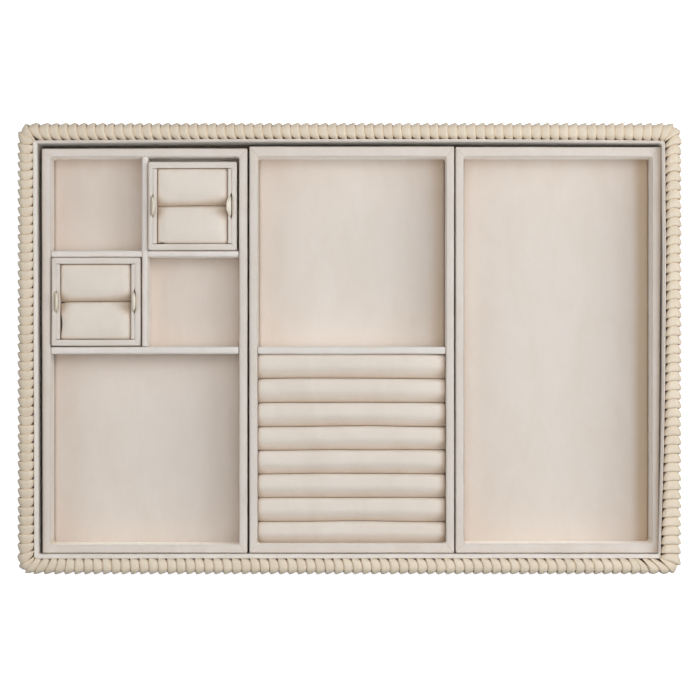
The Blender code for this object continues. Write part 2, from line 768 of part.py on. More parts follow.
def build_all():
    case = add_empty("case_origin", None, (0, 0, 0))
    build_case_body(case)
    build_rim(case)

    first_x = -INNER_WIDTH / 2 + LEFT_PLAY + TRAY_WIDTH / 2
    tray_y = -INNER_LENGTH / 2 + FRONT_PLAY + TRAY_LENGTH / 2
    builders = (
        ("left_tray", build_left_tray),
        ("middle_tray", build_middle_tray),
        ("right_tray", None),
    )
    trays = {}
    for number, (name, build) in enumerate(builders):
        x = first_x + number * (TRAY_WIDTH + TRAY_GAP)
        trays[name] = add_empty(f"{name}_origin", case, (x, tray_y, TRAY_Z))
        build_tray(name, trays[name])
        if build:
            build(trays[name])

    rear_place = (
        CELL_DIVIDER / 2 + REAR_BOX_SIDE + RING_BOX_WIDTH / 2,
        CROSS_Y + CELL_DIVIDER / 2 + REAR_BOX_FRONT + RING_BOX_LENGTH / 2,
        ON_PAD_Z,
    )
    front_place = (
        -TRAY_INNER_WIDTH / 2 + FRONT_BOX_SIDE + RING_BOX_WIDTH / 2,
        CELLS_FRONT_Y + FRONT_BOX_FRONT + RING_BOX_LENGTH / 2,
        ON_PAD_Z,
    )
    for prefix, place in (("rear", rear_place), ("front", front_place)):
        ring_box = add_empty(f"{prefix}_ring_box_origin", trays["left_tray"], place)
        build_ring_box(prefix, ring_box)


build_all()
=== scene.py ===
"""Jewellery case with a cord-wound rim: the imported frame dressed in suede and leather, on a plain pale stage.

Each operator makes one piece, or one group of like pieces, from the sizes and colours in the scene's property
groups. Metres throughout. +X is the right of the case, +Y its back and +Z up.
"""

import json
import math

import bmesh
import bpy
import numpy as np
from bpy.props import FloatProperty, FloatVectorProperty, IntProperty, PointerProperty
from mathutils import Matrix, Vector, noise


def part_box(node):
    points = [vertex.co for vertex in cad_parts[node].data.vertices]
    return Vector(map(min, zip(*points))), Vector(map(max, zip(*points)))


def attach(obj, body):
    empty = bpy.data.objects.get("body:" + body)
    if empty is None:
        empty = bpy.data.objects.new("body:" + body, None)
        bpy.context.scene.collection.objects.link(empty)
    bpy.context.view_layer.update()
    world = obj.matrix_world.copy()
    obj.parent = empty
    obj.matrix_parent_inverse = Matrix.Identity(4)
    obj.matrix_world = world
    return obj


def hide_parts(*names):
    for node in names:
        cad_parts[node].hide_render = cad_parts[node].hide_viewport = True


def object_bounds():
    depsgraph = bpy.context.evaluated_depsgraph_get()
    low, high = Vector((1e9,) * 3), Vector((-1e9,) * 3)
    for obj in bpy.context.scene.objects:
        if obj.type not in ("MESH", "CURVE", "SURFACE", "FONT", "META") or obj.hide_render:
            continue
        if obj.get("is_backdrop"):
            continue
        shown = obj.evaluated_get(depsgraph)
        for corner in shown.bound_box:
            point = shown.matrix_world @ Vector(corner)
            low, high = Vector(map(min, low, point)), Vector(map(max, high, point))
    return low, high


bl_info = {
    "name": "Cord-wound jewellery case",
    "version": (1, 0, 0),
    "blender": (4, 5, 0),
    "location": "View3D > Sidebar > Jewellery case",
    "description": "Dresses the jewellery case: wound rim, suede trays, ring rolls, ring boxes and stage",
    "category": "Object",
}

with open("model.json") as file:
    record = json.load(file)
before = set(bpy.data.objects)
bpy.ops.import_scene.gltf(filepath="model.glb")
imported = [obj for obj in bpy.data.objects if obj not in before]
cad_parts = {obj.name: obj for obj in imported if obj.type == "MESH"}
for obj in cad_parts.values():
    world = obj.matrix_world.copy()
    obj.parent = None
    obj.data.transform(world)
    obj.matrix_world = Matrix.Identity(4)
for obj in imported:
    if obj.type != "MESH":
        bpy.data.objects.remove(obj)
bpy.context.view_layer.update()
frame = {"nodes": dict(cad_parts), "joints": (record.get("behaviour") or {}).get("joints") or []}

TRAYS = ("left_tray", "middle_tray", "right_tray")
RING_BOXES = ("rear", "front")
SIDES = ("back", "left", "front", "right")

# The finishes made so far, by name
FINISHES = {}

# Where the camera stands, seen from above, and the size of the plain floor
CAMERA_PLACE = (0.00046, -0.00098)
FLOOR_RADIUS, FLOOR_SIDES = 6.0, 96

# Each corner of the rim, clockwise from the back left: how far before it and after it the turns fan out
RIM_FANS = ((0.014, 0.016), (0.022, 0.013), (0.012, 0.024), (0.050, 0.020))

# How much further in the winding reaches at the back, right, front and left
RIM_REACH = (0.0008, 0.0001, 0.0007, 0.0002)

# How much further out it stands at the left and at the right than at the front and back
RIM_SIDE_BULGES = (0.0006, 0.0010)

# How far the turns hook forward at the inner edge: at the start and end of the back, right, front and left
RIM_HOOKS = ((1.35, -0.4), (1.0, 0.2), (1.1, -0.2), (0.4, 0.5))

# How round the cord's section is (1) or how square (0), and how many points it has
CORD_ROUNDNESS, SECTION_POINTS = 0.72, 14

# How the cord passes round the rim's section in one turn. The first column runs from the middle of the top
# (0) over the outer edge (1 to 2), the underside (3 to 4) and the inner edge (5 to 6) to the next turn (7).
# The others are the part of a turn gained, how much of the cord's width lies ahead of and behind its middle,
# and how far its trailing side sinks.
TURN_SHAPE = np.array((
    (0.0, 0.00, 1.00, 1.00, 0.42),
    (1.0, 0.00, 1.00, 1.00, 0.45),
    (1.4, 0.03, 0.97, 0.98, 0.62),
    (1.65, 0.05, 0.96, 0.90, 0.90),
    (2.0, 0.12, 0.86, 0.74, 1.40),
    (3.0, 0.33, 0.80, 0.80, 1.10),
    (4.0, 1.40, 0.90, 0.85, 0.90),
    (5.0, 1.32, 0.90, 0.86, 0.85),
    (5.5, 1.22, 0.96, 0.94, 0.66),
    (6.0, 1.09, 1.00, 1.00, 0.50),
    (6.5, 1.02, 1.00, 1.00, 0.44),
    (7.0, 1.00, 1.00, 1.00, 0.42),
))

# How far the lining and the rim's inner edge stray: inwards at the back's ends, inwards towards the front
# right and outwards in the right side's middle, and to the right at the left side's back and front
BACK_BOW = 0.0011
RIGHT_LEAN, RIGHT_BOW = 0.0030, 0.0012
LEFT_LEAN = (0.0, 0.0004)

# The right lean, right bow and left lean of the lining's inner and outer edge, and the radii of their corners
# from the back right
LINING_SWAYS = ((0.0022, 0.00095, (-0.0006, 0.0004)), (RIGHT_LEAN, RIGHT_BOW, (-0.0007, 0.0002)))
LINING_CORNERS = ((0.0022, 0.0007, 0.001, 0.001), (0.0024, 0.0016, 0.0018, 0.0018))

# How far the lining's lowest and highest corner stand from its solids', and how much thicker than they are it
# is at the left, front, right and back
LINING_SHIFTS = ((-0.0004, -0.0004, 0.0), (0.0005, 0.0, 0.0))
LINING_FULLNESS = (0.0004, 0.0004, -0.0004, -0.0007)

# Painted shade on the lining's right side: how dark it is, and how wide that side is
RIGHT_SHADE, RIGHT_WIDTH = 0.12, 0.0065

# How far from the case's middle its back and its sides begin, and how far they reach
BACK_FROM, SIDE_FROM = 0.12, 0.19
HALF_BACK, HALF_SIDE = 0.2, 0.1368

# The part of a covered wall, from its top down, that folds at the corners and tapers at the ends
TOP_PART = 0.004

# The most between two stations along the outer hide and the core, the suede walls, and the ring boxes
HIDE_STEP, WALL_STEP, BOX_STEP = 0.006, 0.003, 0.0012

# The inner and outer corner radius of a tray and of a ring box, and a ring box's outer and inner top edge
TRAY_CORNERS, BOX_CORNERS = (0.0018, 0.0008), (0.0007, 0.0011)
BOX_EDGE, BOX_INNER_EDGE = 0.0011, 0.0005

# Painted shade, darker downwards: how far under the top it starts, over what depth, and how dark it gets
PAINTED_DEPTH_SHADES = {"lining": (0.0010, 0.0014, 1.0), "roll": (0.0026, 0.0032, 0.5), "pad": (0.0010, 0.0026, 0.8)}

# The cloth simulation: how much larger it runs, for how many steps, and up to what height it is held
CLOTH_SCALE, CLOTH_STEPS, HELD_HEIGHT = 20.0, 20, 0.001

# How far to the right the trays have slid, and what lies in them
SLIDES = {
    "left_tray": 0.0008, "cell_divider": 0.0008, "rear_": 0.0008, "front_": 0.0008,
    "middle_tray": 0.0012, "ring_roll": 0.0012, "right_tray": 0.0012,
}

# Covers that differ from tray to tray: how full the front wall's is, how far the back's outer edge stands
# out, and how far an outer side, left (-1) or right (1), moves right at its back and at its front. The
# back wall's cover is equally full in all.
FRONT_FULLNESS = (0.0003, 0.0012, 0.0011)
BACK_FULLNESS = 0.0008
BACK_EDGES = (-0.0004, 0.0009, 0.0006)
TRAY_LEANS = {"left_tray": (-1, -0.0006, 0.0), "right_tray": (1, 0.0007, -0.0013)}

# The painted shadow along each floor's right wall: how dark it is, where it ends, and over how much of
# its width it fades
BAND_SHADES = (0.0, 0.5, 1.0)
BAND_END, BAND_FADE = 0.0122, 0.0092

# How far the top of a floor, a roll and a pad falls at an edge, and how sharply
FLOOR_EDGE = (0.0006, 30.0)
ROLL_FALLS = ((0.0012, 40.0), (0.0044, 12.0), (0.0062, 1.5), (0.0030, 10.0))
PAD_EDGE, SLIT_FRONT, SLIT_BACK = (0.0014, 12.0), (0.0026, 13.0), (0.0036, 4.0)

# The lines between two rolls: how far they stand forward, bow back in the middle and stray. The first roll is
# cut short at the front.
ROLL_FORWARD, ROLL_BOW, ROLL_STRAY, ROLL_CUT = 0.0008, 0.0006, 0.00045, 0.0011

# How far the slit between two ring pads leans and bows, and how far two of the pads have shrunk: the front
# box's front pad at its left and back, and the rear box's at its front
SLIT_LEAN, SLIT_BOW = 0.0004, 0.0002
PAD_SHRINKS = (0.0011, 0.0009, 0.0008)

# The hollows that fingers have left in the ring pads, at the left and right end: depth and reach
FINGER_MARKS = ((0.0024, 0.0050), (0.0028, 0.0110))
FINGER_WIDTH = 0.0038

# Where a tab passes, a ring box's covers dip, and a shell's gives way by this much at the left and right.
# They give way in this part, from the top down.
TAB_DIP = 0.0005
TAB_ROOMS = {"left": 0.0008, "right": 0.0003}
GIVING_PART = 0.006

# Each pull tab: its thickness at the middle, and how far its tip curls back to the left
TABS = {
    "rear_tab_left": (0.0023, -0.0012), "rear_tab_right": (0.0033, 0.0011),
    "front_tab_left": (0.0019, -0.0010), "front_tab_right": (0.0028, -0.0007),
}

# A tab's width as a part of its solid's, where its foot ends under the seam, and how far its root moves with
# the tray's slide
TAB_WIDTH, TAB_FOOT, ROOT_SLIDE = 0.9, -0.0005, 0.25


# Sizes and colours


def size(name, text, default, low=0.0, high=1.0):
    return FloatProperty(
        name=name, description=text, default=default, min=low, max=high, precision=5,
        subtype="DISTANCE", unit="LENGTH",
    )


def share(name, text, default, low=0.0, high=2.0):
    return FloatProperty(name=name, description=text, default=default, min=low, max=high, subtype="FACTOR")


def colour(name, text, default):
    return FloatVectorProperty(
        name=name, description=text, default=default, size=3, min=0.0, max=1.0, subtype="COLOR"
    )


def power(name, text, default):
    return FloatProperty(name=name, description=text, default=default, min=0.0, unit="POWER")


def turn_count(name, text, default):
    return IntProperty(name=name, description=text, default=default, min=8, max=200)


class CordRimSettings(bpy.types.PropertyGroup):
    turns_long: turn_count("Turns on a long side", "Turns of cord along the back or front", 70)
    turns_short: turn_count("Turns on a short side", "Turns of cord along the left or right", 48)
    cord_thickness: size("Cord thickness", "Thickness of the flattened cord", 0.0026)
    cord_width: share("Cord width", "Width of the cord as a share of the space for a turn", 1.09)
    taper: share("Taper", "How much thinner the cord is where the turn before it overlaps it", 0.5)
    sink: size("Sink", "How far the cord's trailing side sinks under the turn before it", 0.0019)
    outer_bend: size("Outer bend", "Radius of the cord's middle over the rim's outer edge", 0.0040)
    inner_bend: size("Inner bend", "Radius of the cord's middle over the rim's inner edge", 0.0028)
    lower_bend: size("Lower bend", "Radius of the cord's middle round the rim's lower edges", 0.0013)
    outer_radius: size("Outer corner", "Plan radius of the rim's outer corners", 0.0095)
    inner_radius: size("Inner corner", "Plan radius of the rim's inner corners", 0.0015)
    bulge_out: size("Outward bulge", "How far the turns stand out beyond the rim", 0.0005)
    bulge_in: size("Inward bulge", "How far the turns lean over the lining", 0.0006)


class SuedeSettings(bpy.types.PropertyGroup):
    edge_radius: size("Edge radius", "Rounding of a covered wall's top edges", 0.00135)
    seam_depth: size("Seam depth", "Depth of the fold where two covers meet", 0.00035)
    unevenness: size("Unevenness", "How far the covers stray from straight", 0.00016)
    pressure: FloatProperty(
        name="Stuffing pressure", description="Pressure that fills the rolls and pads",
        default=4.0, min=0.0, max=20.0,
    )
    frame_colour: colour("Frames", "Suede on the walls and dividers", (0.82, 0.70, 0.60))
    floor_colour: colour("Floors", "Suede on the floors", (0.82, 0.70, 0.60))
    roll_colour: colour("Rolls", "Suede on the ring rolls and ring pads", (0.89, 0.745, 0.62))
    # The nap's dark tone, for its darker patches, and the colour of painted shade where none of its own is
    # given
    shade_colour: colour("Nap shade", "Suede where the nap is brushed dark", (0.62, 0.46, 0.32))


class LeatherSettings(bpy.types.PropertyGroup):
    cord_colour: colour("Cord", "Leather of the wound cord", (0.87, 0.69, 0.50))
    crease_colour: colour("Creases", "Leather deep in its grain", (0.38, 0.26, 0.14))
    tab_colour: colour("Tabs", "Leather of the pull tabs", (1.0, 0.85, 0.66))


class StageSettings(bpy.types.PropertyGroup):
    camera_height: size("Camera height", "Height of the camera above the floor", 2.45, 0.5, 10.0)
    view_width: size("View width", "Width of the view at the height of the rim", 0.455, 0.1, 5.0)
    key_power: power("Key light", "Power of the wide soft light at the right", 7.9)
    fill_power: power("Fill light", "Power of the wide soft light at the left", 5.1)
    top_power: power("Top light", "Power of the light overhead", 3.9)
    back_power: power("Back light", "Power of the light over the back right corner", 1.56)
    sky_strength: share("Room light", "Brightness of the even light all round", 0.11, 0.0, 5.0)
    light_colour: colour("Light", "Colour of the lights, a little cool", (0.83, 0.915, 1.0))
    floor_colour: colour("Floor", "Pale floor", (0.92, 0.92, 0.92))


# Node trees


def feed(tree, slot, value):
    """Gives a node's input a value, or links another node's socket to it."""
    if isinstance(value, bpy.types.NodeSocket):
        tree.links.new(value, slot)
    else:
        slot.default_value = value


def add_node(tree, kind, inputs=(), **settings):
    """A node with its settings, and its inputs fed with values or sockets."""
    node = tree.nodes.new(kind)
    for name, value in settings.items():
        setattr(node, name, value)
    for name, value in dict(inputs).items():
        feed(tree, node.inputs[name], value)
    return node


def math_node(tree, operation, *parts):
    """The output of a Math node over sockets or numbers. Each further part gets a node of its own."""
    node = tree.nodes.new("ShaderNodeMath")
    node.operation = operation
    for slot, value in zip(node.inputs, parts[:2]):
        feed(tree, slot, value)
    return math_node(tree, operation, node.outputs[0], *parts[2:]) if parts[2:] else node.outputs[0]


def ranged(tree, value, start, end, first=0.0, last=1.0):
    """A value that runs from the first number to the last while another goes from its start to its end."""
    limits = {"From Min": start, "From Max": end, "To Min": first, "To Max": last}
    return add_node(tree, "ShaderNodeMapRange", {"Value": value, **limits}).outputs[0]


def noise_pattern(tree, place, scale, detail=2.0, roughness=0.5, distortion=0.0):
    kinds = {"Scale": scale, "Detail": detail, "Roughness": roughness, "Distortion": distortion}
    return add_node(tree, "ShaderNodeTexNoise", {"Vector": place, **kinds}).outputs["Fac"]


def mixed_colour(tree, factor, first, second):
    """A mix of two colours, which are inputs 6 and 7 and output 2 of a Mix node."""
    mix = add_node(tree, "ShaderNodeMix", {"Factor": factor, 6: first, 7: second}, data_type="RGBA")
    return mix.outputs[2]


def new_group(name, inputs, outputs):
    """A shader node group, with the sockets that its nodes read and feed. A colour's default is a tuple."""
    tree = bpy.data.node_groups.new(name, "ShaderNodeTree")
    for label, default in inputs.items():
        kind = "NodeSocketColor" if isinstance(default, tuple) else "NodeSocketFloat"
        tree.interface.new_socket(label, in_out="INPUT", socket_type=kind).default_value = default
    for label in outputs:
        kind = "NodeSocketColor" if label == "Colour" else "NodeSocketFloat"
        tree.interface.new_socket(label, in_out="OUTPUT", socket_type=kind)
    return tree, tree.nodes.new("NodeGroupInput").outputs, tree.nodes.new("NodeGroupOutput").inputs


def suede_nap_group():
    """Brushed nap: fine fibres, patches that lie light or dark, and their height, with painted shade where
    marked.
    """
    tree, given, result = new_group(
        "suede nap",
        {
            "Colour": (1, 1, 1, 1), "Shade": (0.5, 0.4, 0.3, 1), "Fibre Scale": 2300.0,
            "Patch Scale": 55.0, "Patchiness": 0.2, "Painted Shade": 0.0,
        },
        ("Colour", "Height"),
    )
    place = add_node(tree, "ShaderNodeTexCoord").outputs["Object"]
    brushed = add_node(tree, "ShaderNodeMapping", {"Vector": place, "Scale": (1.0, 0.45, 1.0)})
    fibres = noise_pattern(tree, place, given["Fibre Scale"], 3.0, 0.65)
    patches = noise_pattern(tree, brushed.outputs[0], given["Patch Scale"], 4.0, 0.6, 0.6)
    tufts = noise_pattern(tree, place, 420.0)
    dark = math_node(tree, "MULTIPLY", ranged(tree, patches, 0.3, 0.75), given["Patchiness"])
    weaker = math_node(tree, "MULTIPLY", given["Patchiness"], 0.8)
    speck = math_node(tree, "MULTIPLY", ranged(tree, fibres, 0.3, 0.7), weaker)
    amount = math_node(tree, "ADD", dark, speck, given["Painted Shade"])
    feed(tree, result["Colour"], mixed_colour(tree, amount, given["Colour"], given["Shade"]))
    feed(tree, result["Height"], math_node(tree, "ADD", fibres, math_node(tree, "MULTIPLY", tufts, 0.7)))
    return tree


def leather_grain_group():
    """Pebbled hide: raised cells with creases between them, fine pores, and patchy gloss."""
    tree, given, result = new_group(
        "leather grain",
        {
            "Colour": (1, 1, 1, 1), "Crease": (0.4, 0.3, 0.2, 1), "Grain Scale": 900.0,
            "Depth": 0.3, "Gloss": 0.45,
        },
        ("Colour", "Height", "Roughness"),
    )
    place = add_node(tree, "ShaderNodeTexCoord").outputs["Object"]
    cells = add_node(
        tree, "ShaderNodeTexVoronoi", {"Vector": place, "Scale": given["Grain Scale"], "Randomness": 0.9},
        feature="DISTANCE_TO_EDGE",
    )
    crease = ranged(tree, cells.outputs["Distance"], 0.0, 0.22, 1.0, 0.0)
    stains = noise_pattern(tree, place, 60.0, 5.0, 0.6)
    pores = noise_pattern(tree, place, 3200.0)
    shade = math_node(tree, "MULTIPLY", crease, given["Depth"])
    amount = math_node(tree, "ADD", shade, ranged(tree, stains, 0.35, 0.75, 0.0, 0.16))
    sunk, raised = math_node(tree, "MULTIPLY", crease, -0.6), math_node(tree, "MULTIPLY", pores, 0.5)
    dull = math_node(tree, "MULTIPLY", stains, 0.18)
    feed(tree, result["Colour"], mixed_colour(tree, amount, given["Colour"], given["Crease"]))
    feed(tree, result["Height"], math_node(tree, "ADD", sunk, raised))
    feed(tree, result["Roughness"], math_node(tree, "ADD", given["Gloss"], dull))
    return tree


def relief_wear_and_light_group():
    """Crests rubbed pale with painted highlight, hollows in painted shade, from the surface's own relief."""
    tree, given, result = new_group(
        "relief wear and painted light",
        {"Colour": (1, 1, 1, 1), "Crest": (1, 1, 1, 1), "Hollow": (0.4, 0.3, 0.2, 1), "Amount": 0.5},
        ("Colour",),
    )
    relief = add_node(tree, "ShaderNodeNewGeometry").outputs["Pointiness"]
    tone = given["Colour"]
    for label, start, end in (("Crest", 0.52, 0.62), ("Hollow", 0.49, 0.40)):
        amount = math_node(tree, "MULTIPLY", ranged(tree, relief, start, end), given["Amount"])
        tone = mixed_colour(tree, amount, tone, given[label])
    feed(tree, result["Colour"], tone)
    return tree


GROUPS = {
    "suede nap": suede_nap_group, "leather grain": leather_grain_group, "relief wear and painted light": relief_wear_and_light_group,
}


def placed_group(tree, name, inputs):
    """A shader node group with its own values. It is built the first time that it is asked for."""
    group = bpy.data.node_groups.get(name) or GROUPS[name]()
    return add_node(tree, "ShaderNodeGroup", inputs, node_tree=group)


def opaque(rgb, gain=1.0):
    return (*(min(1.0, part * gain) for part in rgb), 1.0)


def tinted(rgb, *gains):
    """A colour with each part multiplied by its own gain, or all parts by one."""
    return tuple(part * gain for part, gain in zip(rgb, gains * 3))


def new_finish(name, **fixed):
    """A material with its Principled shader, whose fixed values are set on the shader itself."""
    material = FINISHES[name] = bpy.data.materials.new(name)
    material.use_nodes = True
    shader = material.node_tree.nodes["Principled BSDF"]
    for label, value in fixed.items():
        shader.inputs[label.replace("_", " ")].default_value = value
    return material, material.node_tree, shader


def bump(tree, shader, height, strength, distance):
    relief = add_node(tree, "ShaderNodeBump", {"Strength": strength, "Distance": distance, "Height": height})
    feed(tree, shader.inputs["Normal"], relief.outputs["Normal"])


def relief_wear_and_light(tree, tone, crest, hollow, amount):
    """A colour with crests rubbed pale with painted highlight and hollows in painted shade, where the amount
    isn't 0.
    """
    if not amount:
        return tone
    values = {"Colour": tone, "Crest": crest, "Hollow": hollow, "Amount": amount}
    return placed_group(tree, "relief wear and painted light", values).outputs["Colour"]


def suede(
    name, rgb, patchiness=0.2, patch_scale=55.0, strength=0.35, wear_and_light=0.0, sheen=0.7, painted_shade_rgb=None
):
    """Suede of one colour, with painted shade where its mesh marks it. Pieces of the same finish share it."""
    if name in FINISHES:
        return FINISHES[name]
    material, tree, shader = new_finish(
        name, Roughness=0.95, Sheen_Weight=sheen, Sheen_Roughness=0.45, Specular_IOR_Level=0.15,
        Sheen_Tint=(1.0, 0.90, 0.78, 1.0),
    )
    shade = bpy.context.scene.case_suede.shade_colour
    # The mesh's marks of painted shade pull the nap towards the shade colour
    painted_shade_and_dent = add_node(tree, "ShaderNodeAttribute", attribute_name="painted_shade_and_dent").outputs["Fac"]
    nap = placed_group(
        tree, "suede nap",
        {
            "Colour": opaque(rgb), "Shade": opaque(painted_shade_rgb or shade), "Patchiness": patchiness,
            "Patch Scale": patch_scale, "Painted Shade": painted_shade_and_dent,
        },
    )
    # Crests lighter by wear and painted highlight, hollows in painted shade
    tone = relief_wear_and_light(tree, nap.outputs["Colour"], opaque(rgb, 1.2), opaque(shade), wear_and_light)
    feed(tree, shader.inputs["Base Color"], tone)
    bump(tree, shader, nap.outputs["Height"], strength, 0.0003)
    return material


def leather(name, rgb, gloss=0.45, grain=900.0, depth=0.25, wear_and_light=0.0, strength=0.25):
    """Leather of one colour and grain."""
    material, tree, shader = new_finish(name, Specular_IOR_Level=0.45)
    crease = opaque(bpy.context.scene.case_leather.crease_colour)
    hide = placed_group(
        tree, "leather grain",
        {"Colour": opaque(rgb), "Crease": crease, "Grain Scale": grain, "Depth": depth, "Gloss": gloss},
    )
    # Crests lighter by wear and painted highlight, hollows in painted shade
    tone = relief_wear_and_light(tree, hide.outputs["Colour"], opaque(rgb, 1.12), crease, wear_and_light)
    feed(tree, shader.inputs["Base Color"], tone)
    feed(tree, shader.inputs["Roughness"], hide.outputs["Roughness"])
    bump(tree, shader, hide.outputs["Height"], strength, 0.0002)
    return material


def board_finish(name, rgb, stretch):
    """Pale fibreboard or card: long fibres in two tones."""
    material, tree, shader = new_finish(name, Roughness=0.85, Specular_IOR_Level=0.2)
    place = add_node(tree, "ShaderNodeTexCoord").outputs["Object"]
    drawn = add_node(tree, "ShaderNodeMapping", {"Vector": place, "Scale": stretch}).outputs[0]
    fibre = noise_pattern(tree, drawn, 300.0, 6.0, 0.7)
    feed(tree, shader.inputs["Base Color"], mixed_colour(tree, fibre, opaque(rgb, 0.78), opaque(rgb, 1.15)))
    bump(tree, shader, fibre, 0.3, 0.0002)
    return material


# Meshes


def clamped(value):
    return min(1.0, max(0.0, value))


def drift(point, scale, seed):
    """Smooth noise from -1 to 1 at a point."""
    return noise.noise(Vector(point) * scale + Vector((seed * 7.3, seed * 3.1, seed * 5.7)))


def tube_mesh(name, points, closed_path=True, closed_section=True):
    """A skin over stations of section points, shaped (stations, section, 3). What is left open is capped."""
    stations, section = points.shape[:2]
    work = bmesh.new()
    verts = [[work.verts.new(point) for point in ring] for ring in points]
    for low in range(stations if closed_path else stations - 1):
        high = (low + 1) % stations
        for first in range(section if closed_section else section - 1):
            second = (first + 1) % section
            work.faces.new((verts[low][first], verts[low][second], verts[high][second], verts[high][first]))
    if not closed_path:
        work.faces.new(verts[0])
        work.faces.new(verts[-1])
    if not closed_section:
        work.faces.new([ring[0] for ring in verts])
        work.faces.new([ring[-1] for ring in verts])
    return close_work(name, work)


def close_work(name, work, sharp=math.radians(50)):
    """A mesh from a bmesh, with its faces turned outwards and smooth up to that angle."""
    bmesh.ops.recalc_face_normals(work, faces=work.faces)
    mesh = bpy.data.meshes.new(name)
    work.to_mesh(mesh)
    work.free()
    mesh.shade_smooth()
    mesh.set_sharp_from_angle(angle=sharp)
    return mesh


def coordinates(mesh):
    flat = np.empty(len(mesh.vertices) * 3)
    mesh.vertices.foreach_get("co", flat)
    return flat.reshape(-1, 3)


def place_vertices(mesh, points):
    mesh.vertices.foreach_set("co", np.asarray(points, float).ravel())
    mesh.update()


def mark_painted_shade(mesh, marks):
    """Says how much painted shade darkens the nap at each point of a mesh, from 0 to 1."""
    attribute = mesh.attributes.new("painted_shade_and_dent", "FLOAT", "POINT")
    attribute.data.foreach_set("value", np.asarray(marks, np.float32).ravel())


def marks_below(mesh, top, kind):
    """Marks of painted shade that darkens downwards, for a mesh with its top at that height."""
    start, depth, most = PAINTED_DEPTH_SHADES[kind]
    return most * np.clip((top - start - coordinates(mesh)[:, 2]) / depth, 0.0, 1.0)


def new_piece(name, mesh, material, body, slot, *nodes):
    """A finished piece that rides on its body and stands for those nodes."""
    piece = bpy.data.objects.new(name, mesh)
    bpy.context.scene.collection.objects.link(piece)
    mesh.materials.clear()
    mesh.materials.append(material)
    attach(piece, body)
    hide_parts(*nodes)
    return piece


def dress_node(name, material):
    """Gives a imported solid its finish."""
    for slot in frame["nodes"][name].material_slots:
        slot.material = material


def placed_box(node):
    """A node's lowest and highest corner, slid with its tray."""
    low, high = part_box(node)
    slide = Vector((next((far for start, far in SLIDES.items() if node.startswith(start)), 0.0), 0, 0))
    return low + slide, high + slide


def sway(points, lean=RIGHT_LEAN, bow=RIGHT_BOW, left=LEFT_LEAN):
    """Moves points of the lining or of the rim's inner edge where that edge isn't straight."""
    points = np.array(points, float)
    x, y = points[..., 0], points[..., 1]
    forward = np.clip((HALF_SIDE - y) / (2 * HALF_SIDE), 0.0, 1.0)
    points[..., 1] -= np.where(y > BACK_FROM, BACK_BOW * (x / HALF_BACK) ** 2, 0.0)
    points[..., 0] += np.where(x > SIDE_FROM, bow * np.sin(np.pi * forward) - lean * forward ** 2, 0.0)
    points[..., 0] += np.where(x < -SIDE_FROM, left[0] + (left[1] - left[0]) * forward, 0.0)
    return points


def lean_side(loop, side, back, front):
    """Moves the left (-1) or right (1) side of a loop in x, by these amounts at its back and its front."""
    side_from = 0.45
    x, y = loop.T
    share_back = (y - y.min()) / (y.max() - y.min())
    chosen = (x - (x.min() + x.max()) / 2) * side > side_from * (x.max() - x.min())
    loop[:, 0] += np.where(chosen, front + (back - front) * share_back, 0.0)


def plan_box(*nodes):
    """The lowest and highest corners of several nodes together."""
    lows, highs = zip(*(placed_box(node) for node in nodes))
    return [Vector(map(min, *lows)), Vector(map(max, *highs))]


def side_nodes(start):
    """The names of four like nodes, one on each side."""
    return [start + side for side in SIDES]


def rounded_corner(low, high, radius, number, turns):
    """Points round one corner of a rectangle. Corners count anticlockwise from the back right."""
    side_x = 1 if number in (0, 3) else -1
    side_y = 1 if number in (0, 1) else -1
    centre = (
        (high.x if side_x > 0 else low.x) - side_x * radius,
        (high.y if side_y > 0 else low.y) - side_y * radius,
    )
    angles = np.radians(number * 90 + turns * 90)
    return np.column_stack((centre[0] + radius * np.cos(angles), centre[1] + radius * np.sin(angles)))


def paired_loops(inner, outer, inner_radii, outer_radii, step, corner_steps=8):
    """Matching stations on the inner and outer edge of a rectangular frame, anticlockwise.

    The radii are one number, or four from the back right corner. The third array is 1 at the fold in the
    middle of each corner and 0 elsewhere.
    """
    turns = np.linspace(0.0, 1.0, corner_steps + 1)
    loops, fold = ([], []), []
    corners = [
        [rounded_corner(*box, radius, number, turns) for number, radius in enumerate(radii)]
        for box, radii in ((inner, np.broadcast_to(inner_radii, 4)), (outer, np.broadcast_to(outer_radii, 4)))
    ]
    for number in range(4):
        following = (number + 1) % 4
        length = np.linalg.norm(corners[1][following][0] - corners[1][number][-1])
        parts = max(2, math.ceil(length / step))
        shares = np.arange(1, parts)[:, None] / parts
        for loop, points in zip(loops, corners):
            start, end = points[number][-1], points[following][0]
            loop.append(points[number])
            loop.append(start + (end - start) * shares)
        fold += [1.0 if at == corner_steps // 2 else 0.0 for at in range(corner_steps + 1)]
        fold += [0.0] * (parts - 1)
    return [np.vstack(loops[0]), np.vstack(loops[1]), np.array(fold)]


def covered_section(low, high, radius, crown=0.0001, arc_steps=4, inner_radius=None):
    """The section of a covered wall as (edge it is measured from, distance from that edge, height).

    The edge is 0 for the inner, 1 for the outer, and 2 where the distance is a share of the wall's thickness.
    """
    inner_radius = inner_radius or radius
    middle, straight_above = low + 0.5 * (high - low), 2.2
    angles = np.linspace(0.0, math.pi / 2, arc_steps + 1)

    def arc(edge, bend, turned):
        return [(edge, bend * (1 - math.cos(at)), high - bend * (1 - math.sin(at))) for at in turned]

    return [
        (0, 0.0, low), (0, 0.0, middle), (0, 0.0, high - straight_above * inner_radius),
        *arc(0, inner_radius, angles),
        (2, 0.5, high + crown),
        *arc(1, radius, angles[::-1]),
        (1, 0.0, high - straight_above * radius), (1, 0.0, middle), (1, 0.0, low),
    ]


